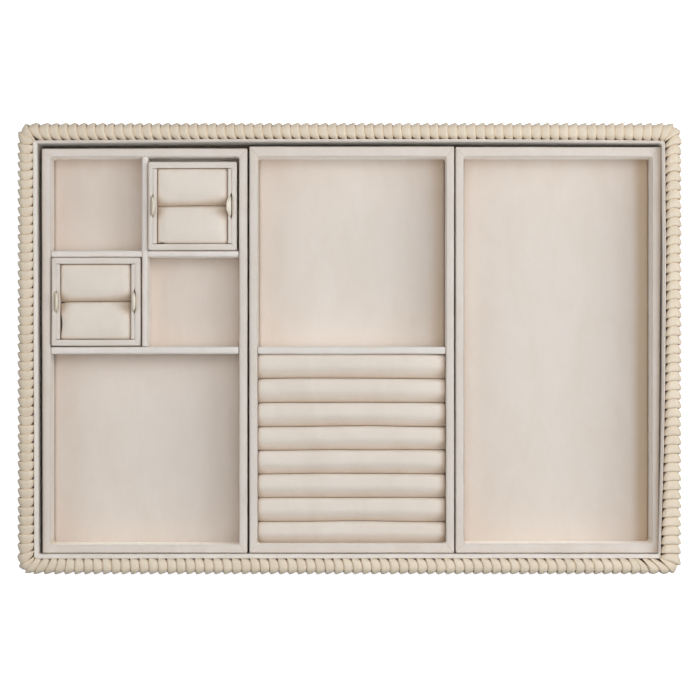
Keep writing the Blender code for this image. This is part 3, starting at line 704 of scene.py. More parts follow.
def skin_wall(inner, outer, section, fold=None, seed=0):
    """Points of a wall's skin: the section carried along its two edges, with soft unevenness and folds."""
    settings = bpy.context.scene.case_suede
    reach = outer - inner
    across = reach / np.linalg.norm(reach, axis=1)[:, None]
    top = max(z for _, _, z in section)
    bottom = min(z for _, _, z in section)
    rings = np.empty((len(inner), len(section), 3))
    for at, (edge, inset, z) in enumerate(section):
        rings[:, at, :2] = (inner + across * inset, outer - across * inset, inner + reach * inset)[edge]
        rings[:, at, 2] = z
    for station in range(len(inner)):
        x, y = rings[station, 0, :2]
        sideways = settings.unevenness * drift((x, y, 0.0), 30.0, seed)
        upward = settings.unevenness * drift((x, y, 0.1), 45.0, seed + 1)
        for at, (_, _, z) in enumerate(section):
            height = (z - bottom) / (top - bottom)
            rings[station, at, :2] += across[station] * sideways * height
            rings[station, at, 2] += upward * height ** 2
            if fold is not None and fold[station] and z > top - TOP_PART:
                rings[station, at, 2] -= settings.seam_depth * fold[station] * height
    return rings


def straight_edges(start, end, thickness, step=0.003, pinch=0.0005):
    """The two edges of a straight wall, with close stations at both ends so that its ends can round."""
    start, end = np.array(start, float), np.array(end, float)
    length = np.linalg.norm(end - start)
    along = (end - start) / length
    across = np.array((-along[1], along[0]))
    inside = np.linspace(pinch, length - pinch, max(3, math.ceil(length / step)))
    places = np.concatenate(((0.0,), (0.3 * pinch,), inside, (length - 0.3 * pinch,), (length,)))
    taper = np.full(len(places), 0.0)
    taper[[0, -1]] = pinch
    taper[[1, -2]] = 0.25 * pinch
    middle = start + places[:, None] * along
    half = (thickness / 2 - taper)[:, None]
    return middle + across * half, middle - across * half, taper


def straight_wall(name, start, end, thickness, low, high, radius, seed, left_radius=None):
    """A closed covered wall from start to end, with softly rounded ends."""
    inner, outer, taper = straight_edges(start, end, thickness)
    radius = min(radius, 0.42 * thickness)
    section = covered_section(low, high, radius, inner_radius=left_radius)
    rings = skin_wall(inner, outer, section, seed=seed)
    rings[:, :, 2] -= (taper[:, None] * (rings[:, :, 2] > high - TOP_PART))
    return tube_mesh(name, rings, closed_path=False)


def block_mesh(name, low, high, falls, steps, edges=None):
    """A stuffed block with a crowned top, as a closed mesh of near-even quads.

    falls gives, for -X, +X, -Y and +Y, how far the top falls at that edge and how sharply. edges gives the
    block's own front and back edge at a share of its width, where these aren't straight.
    """
    closing_up, even = 0.35, 0.65
    width, _, height = (end - start for start, end in zip(low, high))
    work = bmesh.new()
    bmesh.ops.create_cube(work, size=2.0)
    for axis, cuts in enumerate(steps):
        lines = [edge for edge in work.edges if abs(edge.verts[0].co[axis] - edge.verts[1].co[axis]) > 1]
        bmesh.ops.subdivide_edges(work, edges=lines, cuts=cuts, use_grid_fill=True)
    for vert in work.verts:
        u, v, w = vert.co
        # Stations close up towards the edges, where the surface turns.
        u, v = (math.sin(part * math.pi / 2) * closing_up + part * even for part in (u, v))
        drop = sum(fall * max(toward, 0.0) ** sharp for toward, (fall, sharp) in zip((-u, u, -v, v), falls))
        lift = (w + 1) / 2
        front, back = edges((u + 1) / 2) if edges else (low.y, high.y)
        vert.co = (
            low.x + width * (u + 1) / 2, front + (back - front) * (v + 1) / 2, low.z + lift * (height - drop),
        )
    return close_work(name, work, math.radians(80))


def puff(piece, cap):
    """Fills a stuffed piece with pressure in a cloth simulation, and keeps each point near its start."""
    scene = bpy.context.scene
    start = coordinates(piece.data)
    centre = start.mean(axis=0)
    work = bpy.data.objects.new("stuffing", piece.data.copy())
    scene.collection.objects.link(work)
    place_vertices(work.data, (start - centre) * CLOTH_SCALE)
    held = work.vertex_groups.new(name="held")
    floor = start[:, 2].min()
    held.add([at for at, point in enumerate(start) if point[2] < floor + HELD_HEIGHT], 1.0, "REPLACE")
    cloth = work.modifiers.new("stuffing", "CLOTH")
    cloth.settings.effector_weights.gravity = 0.0
    for name, value in (
        ("use_pressure", True), ("uniform_pressure_force", scene.case_suede.pressure),
        ("vertex_group_mass", "held"), ("quality", 4), ("tension_stiffness", 12.0),
        ("compression_stiffness", 12.0), ("bending_stiffness", 1.5),
    ):
        setattr(cloth.settings, name, value)
    cloth.point_cache.frame_start, cloth.point_cache.frame_end = 1, CLOTH_STEPS
    for number in range(1, CLOTH_STEPS + 1):
        scene.frame_set(number)
    graph = bpy.context.evaluated_depsgraph_get()
    filled = coordinates(work.evaluated_get(graph).to_mesh()) / CLOTH_SCALE + centre
    moved = filled - start
    length = np.linalg.norm(moved, axis=1)[:, None]
    moved *= np.minimum(1.0, cap / np.maximum(length, 1e-9))
    place_vertices(piece.data, start + moved)
    scene.frame_set(1)
    bpy.data.objects.remove(work)


# The rim's winding


def rim_point(share_in, box, radius, number):
    """A point of one side of the rim's inner or outer edge, clockwise from the back left corner.

    share_in is the distance from the side's first corner, as if its corners were sharp.
    """
    low, high = box
    corners = ((low.x, high.y), (high.x, high.y), (high.x, low.y), (low.x, low.y))
    ways = ((1, 0), (0, -1), (-1, 0), (0, 1))
    along = np.array(ways[number], float)
    out = np.array((-along[1], along[0]))
    first, last = np.array(corners[number]), np.array(corners[(number + 1) % 4])
    length = np.linalg.norm(last - first)
    near_end = share_in > length / 2
    corner, way, distance = (last, -along, length - share_in) if near_end else (first, along, share_in)
    if distance >= radius:
        return corner + way * distance
    angle = math.pi / 4 * (1 - max(distance, 0.0) / radius)
    return corner + radius * (way - out) + radius * (math.cos(angle) * out - math.sin(angle) * way)


def winding_plan():
    """A function from a place along the winding, in turns, to the rim's inner and outer edge there."""
    rim = bpy.context.scene.case_rim
    box = plan_box(*side_nodes("rim_winding_"))
    low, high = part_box("rim_winding_left")
    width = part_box("rim_winding_back")[1].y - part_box("rim_winding_back")[0].y
    bulge_left, bulge_right = RIM_SIDE_BULGES
    outer = (
        box[0] - Vector((rim.bulge_out + bulge_left, rim.bulge_out, 0)),
        box[1] + Vector((rim.bulge_out + bulge_right, rim.bulge_out, 0)),
    )
    width += rim.bulge_out + rim.bulge_in
    back, right, front, left = RIM_REACH
    inner = (
        outer[0] + Vector((width + left + bulge_left, width + front, 0)),
        outer[1] - Vector((width + right + bulge_right, width + back, 0)),
    )
    # How far each side's inner edge starts from where an even rim would have it
    starts = (-left, -back, -right, -front)
    counts = (rim.turns_long, rim.turns_short) * 2
    spans = (outer[1].x - outer[0].x - width, outer[1].y - outer[0].y - width) * 2

    def plan(turn):
        turn %= sum(counts)
        number = 0
        while turn >= counts[number]:
            turn -= counts[number]
            number += 1
        span = spans[number]
        distance = turn * span / counts[number]
        before, after = RIM_FANS[(number + 1) % 4][0], RIM_FANS[number][1]
        edge_in, edge_out = distance - width / 2, distance + width / 2
        for gone, fan, sign in ((distance, after, 1), (span - distance, before, -1)):
            if gone < fan:
                turned = sign * width / 2 * (1 - gone / fan) ** 2
                edge_in += turned
                edge_out -= turned
        return (
            sway(rim_point(edge_in + starts[number], inner, rim.inner_radius, number)),
            rim_point(edge_out, outer, rim.outer_radius, number),
        )

    return plan, sum(counts), low.z, high.z


def turn_stations(width, height):
    """The places that the middle of the cord passes in one turn.

    Each is (outward, up, way out of the section, turn gained, width ahead, width behind, sink), in metres
    from the middle of a section of that width and height, measured to the cord's middle.
    """
    rim = bpy.context.scene.case_rim
    halves = np.array((width, height)) / 2
    # Where the bends start, which corners they are, their radii, starting angles and steps
    bends = (
        (1.0, (1, 1), rim.outer_bend, 90, 8),
        (2.0, (1, -1), rim.lower_bend, 0, 3),
        (4.0, (-1, -1), rim.lower_bend, -90, 3),
        (5.0, (-1, 1), rim.inner_bend, -180, 6),
    )
    places = []
    for start, side, radius, angle, steps in bends:
        centre = halves * side - radius * np.array(side)
        for at in range(steps + 1):
            turned = math.radians(angle - 90 * at / steps)
            out = np.array((math.cos(turned), math.sin(turned)))
            places.append((start + at / steps, *(centre + radius * out), *out))
    inner_end, outer_end = places[-1][1], places[0][1]
    top = ((0.0, 0.0), (0.5, outer_end / 2), (6.5, inner_end / 2))
    middle, over_outer, over_inner = ((at, x, halves[1], 0.0, 1.0) for at, x in top)
    return [
        (x, y, out_x, out_y, *(np.interp(at, TURN_SHAPE[:, 0], column) for column in TURN_SHAPE.T[1:]))
        for at, x, y, out_x, out_y in (middle, over_outer, *places, over_inner)
    ]


def winding_path():
    """The winding's middle line, one closed run of edges, with what the cord needs at each point."""
    rim = bpy.context.scene.case_rim
    plan, turns, low, high = winding_plan()
    inner, outer = plan(10.0)
    rim_width = np.linalg.norm(outer - inner)
    stations = turn_stations(rim_width - rim.cord_thickness, high - low - rim.cord_thickness)
    places, values = [], {"along_rim": [], "outward": [], "ahead": [], "behind": [], "sink": []}

    def place(turn, out):
        inner, outer = plan(turn)
        reach = outer - inner
        return inner + reach * (0.5 + out / rim_width), reach / np.linalg.norm(reach)

    counts = (rim.turns_long, rim.turns_short) * 2
    hooks = np.concatenate([np.linspace(*ends, count) for ends, count in zip(RIM_HOOKS, counts)])
    for turn in range(turns):
        for x, y, out_x, out_y, gain, ahead, behind, sink in stations:
            if gain > 1.0:
                gain = 1.0 + (gain - 1.0) * hooks[turn]
            here, across = place(turn + gain, x)
            before, _ = place(turn + gain - 0.5, x)
            after, _ = place(turn + gain + 0.5, x)
            places.append((*here, (low + high) / 2 + y))
            new = ((*(after - before), 0.0), (*(across * out_x), out_y), ahead, behind, sink * rim.sink)
            for numbers, value in zip(values.values(), new):
                numbers.append(value)
    path = bpy.data.meshes.new("winding_path")
    path.from_pydata(places, [(at, (at + 1) % len(places)) for at in range(len(places))], [])
    for name, numbers in values.items():
        vector = isinstance(numbers[0], tuple)
        attribute = path.attributes.new(name, "FLOAT_VECTOR" if vector else "FLOAT", "POINT")
        attribute.data.foreach_set("vector" if vector else "value", np.array(numbers, float).ravel())
    return path


def cord_tree():
    """Geometry nodes that carry the cord's flattened section along its path."""
    tree = bpy.data.node_groups.new("wound cord", "GeometryNodeTree")
    for label, kind in (
        ("Path", "Geometry"), ("Cord Width", "Float"), ("Cord Thickness", "Float"), ("Taper", "Float"),
        ("Section Points", "Int"), ("Leather", "Material"),
    ):
        tree.interface.new_socket(label, in_out="INPUT", socket_type=f"NodeSocket{kind}")
    tree.interface.new_socket("Cord", in_out="OUTPUT", socket_type="NodeSocketGeometry")
    given = tree.nodes.new("NodeGroupInput").outputs
    result = tree.nodes.new("NodeGroupOutput").inputs

    def calculated(operation, *parts):
        return math_node(tree, operation, *parts)

    def squared_off(value):
        """A place on a round section, moved towards where a square one would have it."""
        grown = calculated("POWER", calculated("ABSOLUTE", value), CORD_ROUNDNESS)
        return calculated("MULTIPLY", grown, calculated("SIGN", value))

    def stored(geometry, label, value, kind="FLOAT"):
        return add_node(
            tree, "GeometryNodeStoreNamedAttribute", {"Geometry": geometry, "Name": label, "Value": value},
            data_type=kind, domain="POINT",
        ).outputs[0]

    def attribute(label, kind="FLOAT"):
        return add_node(tree, "GeometryNodeInputNamedAttribute", {"Name": label}, data_type=kind).outputs[0]

    def vector_node(operation, inputs):
        return add_node(tree, "ShaderNodeVectorMath", inputs, operation=operation).outputs[0]

    # The section lies flat, with its leading side at +1 and its trailing side at -1.
    circle = add_node(
        tree, "GeometryNodeCurvePrimitiveCircle", {"Radius": 1.0, "Resolution": given["Section Points"]}
    )
    position = add_node(tree, "GeometryNodeInputPosition").outputs[0]
    ahead, up, _ = add_node(tree, "ShaderNodeSeparateXYZ", {0: position}).outputs
    half_width = calculated("MULTIPLY", given["Cord Width"], 0.5)
    half_thickness = calculated("MULTIPLY", given["Cord Thickness"], 0.5)
    trailing = calculated("SUBTRACT", 1.0, ahead)
    thinner = calculated("MULTIPLY", given["Taper"], 0.5, trailing)
    full = calculated("MULTIPLY", squared_off(up), half_thickness)
    section = circle.outputs["Curve"]
    for label, value in (
        ("side", calculated("MULTIPLY", squared_off(ahead), half_width)),
        ("rise", calculated("MULTIPLY", full, calculated("SUBTRACT", 1.0, thinner))),
        ("back", calculated("POWER", calculated("MULTIPLY", trailing, 0.5), 2.0)),
    ):
        section = stored(section, label, value)

    line = add_node(tree, "GeometryNodeMeshToCurve", {"Mesh": given["Path"]}).outputs[0]
    line = stored(line, "middle", add_node(tree, "GeometryNodeInputPosition").outputs[0], "FLOAT_VECTOR")
    skin = add_node(tree, "GeometryNodeCurveToMesh", {"Curve": line, "Profile Curve": section})

    side = attribute("side")
    narrowed = add_node(
        tree, "ShaderNodeMix",
        {"Factor": calculated("LESS_THAN", side, 0.0), "A": attribute("ahead"), "B": attribute("behind")},
        data_type="FLOAT",
    ).outputs[0]
    sunk = calculated("MULTIPLY", attribute("back"), attribute("sink"))
    moves = {"along_rim": calculated("MULTIPLY", side, narrowed)}
    moves["outward"] = calculated("SUBTRACT", attribute("rise"), sunk)
    sideways, raised = (
        vector_node("SCALE", {0: attribute(label, "FLOAT_VECTOR"), "Scale": amount})
        for label, amount in moves.items()
    )
    offset = vector_node("ADD", {0: sideways, 1: raised})
    place = vector_node("ADD", {0: attribute("middle", "FLOAT_VECTOR"), 1: offset})
    made = skin.outputs[0]
    for kind, inputs in (
        ("GeometryNodeSetPosition", {"Position": place}),
        ("GeometryNodeRealizeInstances", {}),
        ("GeometryNodeSetMaterial", {"Material": given["Leather"]}),
    ):
        made = add_node(tree, kind, {"Geometry": made, **inputs}).outputs[0]
    feed(tree, result["Cord"], made)
    return tree


def set_input(modifier, label, value):
    """Sets a geometry nodes input by its socket's identifier."""
    for item in modifier.node_group.interface.items_tree:
        if item.item_type == "SOCKET" and item.in_out == "INPUT" and item.name == label:
            modifier[item.identifier] = value
            return
    raise KeyError(label)


def made_mesh(name, work):
    """The plain mesh that a working object's modifiers make. The working object goes."""
    graph = bpy.context.evaluated_depsgraph_get()
    mesh = bpy.data.meshes.new_from_object(work.evaluated_get(graph))
    mesh.name = name
    bpy.data.objects.remove(work)
    return mesh


# Operators


class CaseStage(bpy.types.Operator):
    """Floor, soft light, room light and the camera straight above"""

    bl_idname = "jewellery_case.stage"
    bl_label = "Stage"

    def execute(self, context):
        scene, settings = context.scene, context.scene.case_stage
        work = bmesh.new()
        bmesh.ops.create_circle(work, cap_ends=True, cap_tris=True, segments=FLOOR_SIDES, radius=FLOOR_RADIUS)
        floor = bpy.data.objects.new("floor", close_work("floor", work))
        if floor.data.polygons[0].normal.z < 0:
            floor.data.flip_normals()
        scene.collection.objects.link(floor)
        floor.data.materials.append(self.floor_finish(settings.floor_colour))
        floor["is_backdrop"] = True

        scene.world = bpy.data.worlds.new("room")
        scene.world.use_nodes = True
        back = scene.world.node_tree.nodes["Background"]
        back.inputs["Color"].default_value = opaque(settings.light_colour)
        back.inputs["Strength"].default_value = settings.sky_strength

        for name, place, width, strength in (
            ("key_light", (0.9, 0.2, 0.9), 1.0, settings.key_power),
            ("fill_light", (-0.9, 0.1, 1.1), 1.0, settings.fill_power),
            ("top_light", (0.05, 0.1, 1.1), 0.6, settings.top_power),
            ("back_light", (0.35, 0.15, 0.95), 0.5, settings.back_power),
        ):
            light = bpy.data.lights.new(name, "AREA")
            light.shape = "DISK"
            light.size = width
            light.energy = strength
            light.color = settings.light_colour
            lamp = bpy.data.objects.new(name, light)
            lamp.location = place
            lamp.rotation_euler = (-Vector(place)).to_track_quat("-Z", "Y").to_euler()
            lamp.visible_camera = False
            scene.collection.objects.link(lamp)

        rim_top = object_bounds()[1][2]
        lens = bpy.data.cameras.new("camera")
        lens.sensor_width = 36.0
        lens.lens = lens.sensor_width * (settings.camera_height - rim_top) / settings.view_width
        lens.clip_end = 50.0
        camera = bpy.data.objects.new("camera", lens)
        camera.location = (*CAMERA_PLACE, settings.camera_height)
        scene.collection.objects.link(camera)
        scene.camera = camera
        scene.view_settings.view_transform = "Standard"
        return {"FINISHED"}

    def floor_finish(self, rgb):
        """A dull pale floor. It glows for the camera alone, so it looks white and doesn't light the case."""
        material, tree, shader = new_finish(
            "pale_floor", Roughness=0.9, Specular_IOR_Level=0.1, Base_Color=opaque(rgb), Emission_Strength=0.8
        )
        seen = add_node(tree, "ShaderNodeLightPath").outputs["Is Camera Ray"]
        feed(tree, shader.inputs["Emission Color"], mixed_colour(tree, seen, (0, 0, 0, 1), (1, 1, 1, 1)))
        return material


class CaseBody(bpy.types.Operator):
    """Finishes of the case's boards and felt, and the leather round its walls"""

    bl_idname = "jewellery_case.body"
    bl_label = "Case body"

    def execute(self, context):
        felt = suede("felt_nap", (0.50, 0.45, 0.40), patchiness=0.4, patch_scale=160.0, strength=0.6)
        dress_node("base_felt", felt)
        # The base board shows only through the gaps round the trays: its near black nap is painted shade
        gap_shade = suede("gap_shade_nap", (0.10, 0.075, 0.055), patchiness=0.3, patch_scale=120.0, strength=0.5)
        dress_node("base_board", gap_shade)
        boards = board_finish("pressed_board", (0.45, 0.34, 0.23), stretch=(1.0, 1.0, 6.0))
        for node in side_nodes("case_wall_"):
            dress_node(node, boards)
        self.rim_core()
        self.cladding(context.scene.case_leather.cord_colour)
        return {"FINISHED"}

    def cladding(self, rgb):
        """The leather round the walls. It bulges a little between its turned edges."""
        thick, edge, swell, corners = 0.0012, 0.0005, 0.00025, (0.0063, 0.0075)
        low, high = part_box("leather_cladding")
        inner = (low + Vector((thick, thick, 0)), high - Vector((thick, thick, 0)))
        inside, outside, _ = paired_loops(inner, (low, high), *corners, HIDE_STEP, 14)
        rings = skin_wall(inside, outside, covered_section(low.z, high.z, edge, 0.0), seed=3)
        heights = np.clip((rings[:, :, 2] - low.z) / (high.z - low.z), 0, 1)
        outwards = (outside - inside) / np.linalg.norm(outside - inside, axis=1)[:, None]
        rings[:, :, :2] += outwards[:, None, :] * (swell * np.sin(np.pi * heights))[:, :, None]
        mesh = tube_mesh("cladding_leather", rings)
        finish = leather("cladding_hide", rgb, gloss=0.5, grain=850.0, depth=0.3)
        new_piece("cladding_leather", mesh, finish, "case", "wall_leather", "leather_cladding")

    def rim_core(self):
        """The roll that the cord is wound round. It shows only between two turns; its near black hide is
        painted shade.
        """
        thick, inner_edge, outer_edge, crown, corners = 0.0060, 0.0022, 0.0030, 0.0001, (0.003, 0.006)
        low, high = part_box("rim_core")
        inner = (low + Vector((thick, thick, 0)), high - Vector((thick, thick, 0)))
        inside, outside, _ = paired_loops(inner, (low, high), *corners, HIDE_STEP, 10)
        section = covered_section(low.z, high.z, outer_edge, crown, 6, inner_edge)
        mesh = tube_mesh("core_roll", skin_wall(inside, outside, section, seed=5))
        finish = leather("core_hide", (0.16, 0.11, 0.07), gloss=0.6, grain=700.0)
        new_piece("core_roll", mesh, finish, "case", "cord_leather", "rim_core")


class CaseLining(bpy.types.Operator):
    """The suede lining that stands up inside the rim"""

    bl_idname = "jewellery_case.lining"
    bl_label = "Lining"

    def execute(self, context):
        nodes = side_nodes("case_lining_")
        outer = plan_box(*nodes)
        thick = outer[1].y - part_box("case_lining_back")[0].y
        outer = [corner + Vector(shift) for corner, shift in zip(outer, LINING_SHIFTS)]
        left, front, right, back = (thick + more for more in LINING_FULLNESS)
        inner = (outer[0] + Vector((left, front, 0)), outer[1] - Vector((right, back, 0)))
        inside, outside, fold = paired_loops(inner, outer, *LINING_CORNERS, WALL_STEP)
        inside, outside = (sway(loop, *amounts) for loop, amounts in zip((inside, outside), LINING_SWAYS))
        section = self.section(outer[0].z, outer[1].z)
        mesh = tube_mesh("lining", skin_wall(inside, outside, section, fold, seed=11))
        # Painted shade: darker into the gap below the lining's top, in a darker colour of its own, and a little
        # on its right side
        x, y, _ = coordinates(mesh).T
        at_right = (x > outer[1].x - RIGHT_WIDTH) & (y < inner[1].y) & (y > inner[0].y)
        mark_painted_shade(mesh, np.maximum(marks_below(mesh, outer[1].z, "lining"), RIGHT_SHADE * at_right))
        rgb = tinted(context.scene.case_suede.frame_colour, 1.16)
        finish = suede("lining_nap", rgb, wear_and_light=0.4, painted_shade_rgb=(0.40, 0.30, 0.21))
        new_piece("lining", mesh, finish, "case", "suede", *nodes)
        return {"FINISHED"}

    def section(self, low, high):
        """Above the walls the lining is thinner, where the cord presses on its back, and its top leans in."""
        thinner, slope, outer_edge, inner_edge = 0.0005, 0.0008, 0.0007, 0.0003
        drops = (0.0009, 0.0, 0.0003)
        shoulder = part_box("case_wall_back")[1].z - 0.0003
        section = [
            (edge, inset + (thinner if edge == 1 and z > shoulder else 0.0), z - drops[edge] * (z > shoulder))
            for edge, inset, z in covered_section(low, high, outer_edge, inner_radius=inner_edge)
        ]
        section[-2:-2] = [(1, thinner, shoulder), (1, 0.0, shoulder - slope)]
        return section


class WoundRim(bpy.types.Operator):
    """One leather cord wound round the whole rim, turn by turn"""

    bl_idname = "jewellery_case.wound_rim"
    bl_label = "Wound rim"

    def execute(self, context):
        rim = context.scene.case_rim
        rgb = context.scene.case_leather.cord_colour
        finish = leather("cord_hide", rgb, gloss=0.38, grain=1300.0, depth=0.12, wear_and_light=0.35, strength=0.15)
        work = bpy.data.objects.new("winding", winding_path())
        context.scene.collection.objects.link(work)
        modifier = work.modifiers.new("winding", "NODES")
        modifier.node_group = cord_tree()
        for label, value in (
            ("Cord Width", rim.cord_width), ("Cord Thickness", rim.cord_thickness), ("Taper", rim.taper),
            ("Section Points", SECTION_POINTS), ("Leather", finish),
        ):
            set_input(modifier, label, value)
        mesh = made_mesh("wound_cord", work)
        skin = bmesh.new()
        skin.from_mesh(mesh)
        bmesh.ops.recalc_face_normals(skin, faces=skin.faces)
        skin.to_mesh(mesh)
        skin.free()
        mesh.shade_smooth()
        new_piece("wound_cord", mesh, finish, "case", "cord_leather", *side_nodes("rim_winding_"))
        return {"FINISHED"}


class SuedeTrays(bpy.types.Operator):
    """The three lift-out trays: wrapped walls, floors and dividers"""

    bl_idname = "jewellery_case.trays"
    bl_label = "Trays"

    def execute(self, context):
        cloth = context.scene.case_suede
        # The covers are lighter than the frame colour; the painted shade on their tops brings the tops back, so
        # the inner faces look lit
        cover = suede("frame_nap", tinted(cloth.frame_colour, 1.06, 1.09, 1.135), wear_and_light=0.4, sheen=0.95)
        floor = suede("floor_nap", cloth.floor_colour)
        for number, tray in enumerate(TRAYS):
            self.walls(tray, number, cover)
            dress_node(f"{tray}_base", suede("base_nap", cloth.frame_colour))
            self.floor_pad(tray, number, floor)
        for tray, seed in (("left_tray", 31), ("middle_tray", 32)):
            node = f"{tray}_divider"
            (x, low_y, _), (end_x, high_y, _) = placed_box(node)
            y = (low_y + high_y) / 2
            self.divider(node, tray, cover, ((x, y), (end_x, y), seed))
        self.cell_dividers(cover)
        return {"FINISHED"}

    def walls(self, tray, number, finish):
        """The cover over a tray's four walls, fuller at the back and the front than its solid."""
        nodes = side_nodes(f"{tray}_wall_")
        outer = plan_box(*nodes)
        thick = outer[1].y - placed_box(f"{tray}_wall_back")[0].y
        inner = (
            outer[0] + Vector((thick, thick + FRONT_FULLNESS[number], 0)),
            outer[1] - Vector((thick, thick + BACK_FULLNESS, 0)),
        )
        padding = 0.0001
        outer[0].x -= padding
        outer[1] += Vector((padding, BACK_EDGES[number], 0))
        inside, outside, fold = paired_loops(inner, outer, *TRAY_CORNERS, WALL_STEP)
        if tray in TRAY_LEANS:
            lean_side(outside, *TRAY_LEANS[tray])
        section = covered_section(outer[0].z, outer[1].z, bpy.context.scene.case_suede.edge_radius)
        mesh = tube_mesh(f"{tray}_walls", skin_wall(inside, outside, section, fold, seed=20 + number))
        mark_painted_shade(mesh, self.wall_marks(section, outside, tray == "right_tray"))
        new_piece(f"{tray}_walls", mesh, finish, tray, "suede", *nodes)

    def wall_marks(self, section, loop, rim_shadowed):
        """Painted shade, faint on the walls' tops and full on their outer faces and inside the front. On the
        right tray, the rim's painted shadow as well.
        """
        faint, rim_shadow_outside, rim_shadow_top, start, fade = 0.2, 0.4, 0.15, 0.0012, 0.002
        front_reach, right_reach = 0.001, 0.003
        top = max(z for _, _, z in section)
        front = loop[:, 1] < loop[:, 1].min() + front_reach
        right = (loop[:, 0] > loop[:, 0].max() - right_reach) & rim_shadowed
        marks = np.empty((len(loop), len(section)))
        for at, (edge, _, z) in enumerate(section):
            below = clamped((top - z - start) / fade)
            if edge == 1:
                marks[:, at] = faint + (1 - faint) * below + rim_shadow_outside * right * (1 - below)
            else:
                marks[:, at] = faint * (1 - below) + front * below + rim_shadow_top * right * (edge == 2)
        return marks

    def floor_pad(self, tray, number, finish):
        """A thin padded floor: nearly flat, with its edges turned down at the walls."""
        name = f"{tray}_floor_pad"
        settled, stray, underside = 0.00005, 0.00012, 0.0007
        low, high = placed_box(name)
        mesh = block_mesh(name, low, high, (FLOOR_EDGE,) * 4, (44, 84, 1))
        points = coordinates(mesh)
        for at in np.nonzero(points[:, 2] > low.z + underside)[0]:
            points[at, 2] += stray * drift(points[at], 38.0, number) - settled
        place_vertices(mesh, points)
        # Painted shadow of the right wall on the floor's nap, darkest at the wall
        near = np.clip((BAND_END - (high.x - points[:, 0])) / BAND_FADE, 0.0, 1.0)
        mark_painted_shade(mesh, BAND_SHADES[number] * near * near * (3 - 2 * near))
        piece = new_piece(f"{tray}_floor", mesh, finish, tray, "floor_suede", name)

    def divider(self, node, tray, finish, *runs):
        """A covered divider of one run or several, each from a start to an end with its own seed."""
        low, high = placed_box(node)
        radius = bpy.context.scene.case_suede.edge_radius
        whole = bmesh.new()
        for start, end, seed in runs:
            thick = high.x - low.x if start[0] == end[0] else high.y - low.y
            run = straight_wall("run", start, end, thick, low.z, high.z, radius, seed)
            whole.from_mesh(run)
            bpy.data.meshes.remove(run)
        mesh = close_work(f"{node}_cover", whole)
        new_piece(f"{node}_cover", mesh, finish, tray, "suede", node)

    def cell_dividers(self, finish):
        """The lengthwise divider runs through, and the crosswise one meets it from both sides."""
        overlap = 0.0001
        low, high = placed_box("cell_divider_long")
        x = (low.x + high.x) / 2
        self.divider("cell_divider_long", "left_tray", finish, ((x, low.y), (x, high.y), 33))
        (start, low_y, _), (end, high_y, _) = placed_box("cell_divider_cross")
        y = (low_y + high_y) / 2
        runs = ((start, y), (low.x + overlap, y), 34), ((high.x - overlap, y), (end, y), 35)
        self.divider("cell_divider_cross", "left_tray", finish, *runs)


class RingRolls(bpy.types.Operator):
    """The eight stuffed ring rolls of the middle tray"""

    bl_idname = "jewellery_case.ring_rolls"
    bl_label = "Ring rolls"

    def execute(self, context):
        finish = suede("roll_nap", context.scene.case_suede.roll_colour)
        for number in range(8):
            self.roll(number, f"ring_roll_{number + 1}", finish)
        return {"FINISHED"}

    def parting(self, number, at):
        """How far the line between two rolls strays from its own place. The first roll is cut short."""
        if number in (0, 8):
            return 0.0 if number else ROLL_CUT
        bow = math.sin(math.pi * at) * ROLL_BOW * (1 if number % 2 else 0.6)
        return bow - ROLL_FORWARD + ROLL_STRAY * drift((at * 0.12, number * 0.31, 0.0), 26.0, 5)

    def roll(self, number, node, finish):
        """One roll. Its ends are pressed against the tray's walls."""
        squeeze, gap, swell, stray, most_puffed = 0.00028, 0.00004, 0.0008, 0.00022, 0.0006
        low, high = placed_box(node)
        low.x -= squeeze
        high.x += squeeze

        def edges(at):
            return low.y + gap + self.parting(number, at), high.y - gap + self.parting(number + 1, at)

        mesh = block_mesh(f"roll_{number + 1}", low, high, ROLL_FALLS, (46, 11, 7), edges)
        piece = new_piece(f"roll_{number + 1}", mesh, finish, "middle_tray", "roll_suede", node)
        puff(piece, most_puffed)
        points = coordinates(mesh)
        for at, (x, y, z) in enumerate(points):
            front, back = edges(clamped((x - low.x) / (high.x - low.x)))
            lift = max(0.0, (z - low.z) / (high.z - low.z))
            z += stray * lift * drift((x, y, number), 60.0, number)
            points[at] = min(max(x, low.x), high.x), min(max(y, front), back), min(z, high.z + swell)
        place_vertices(mesh, points)
        # Painted shade in the grooves between the rolls
        mark_painted_shade(mesh, marks_below(mesh, high.z, "roll"))


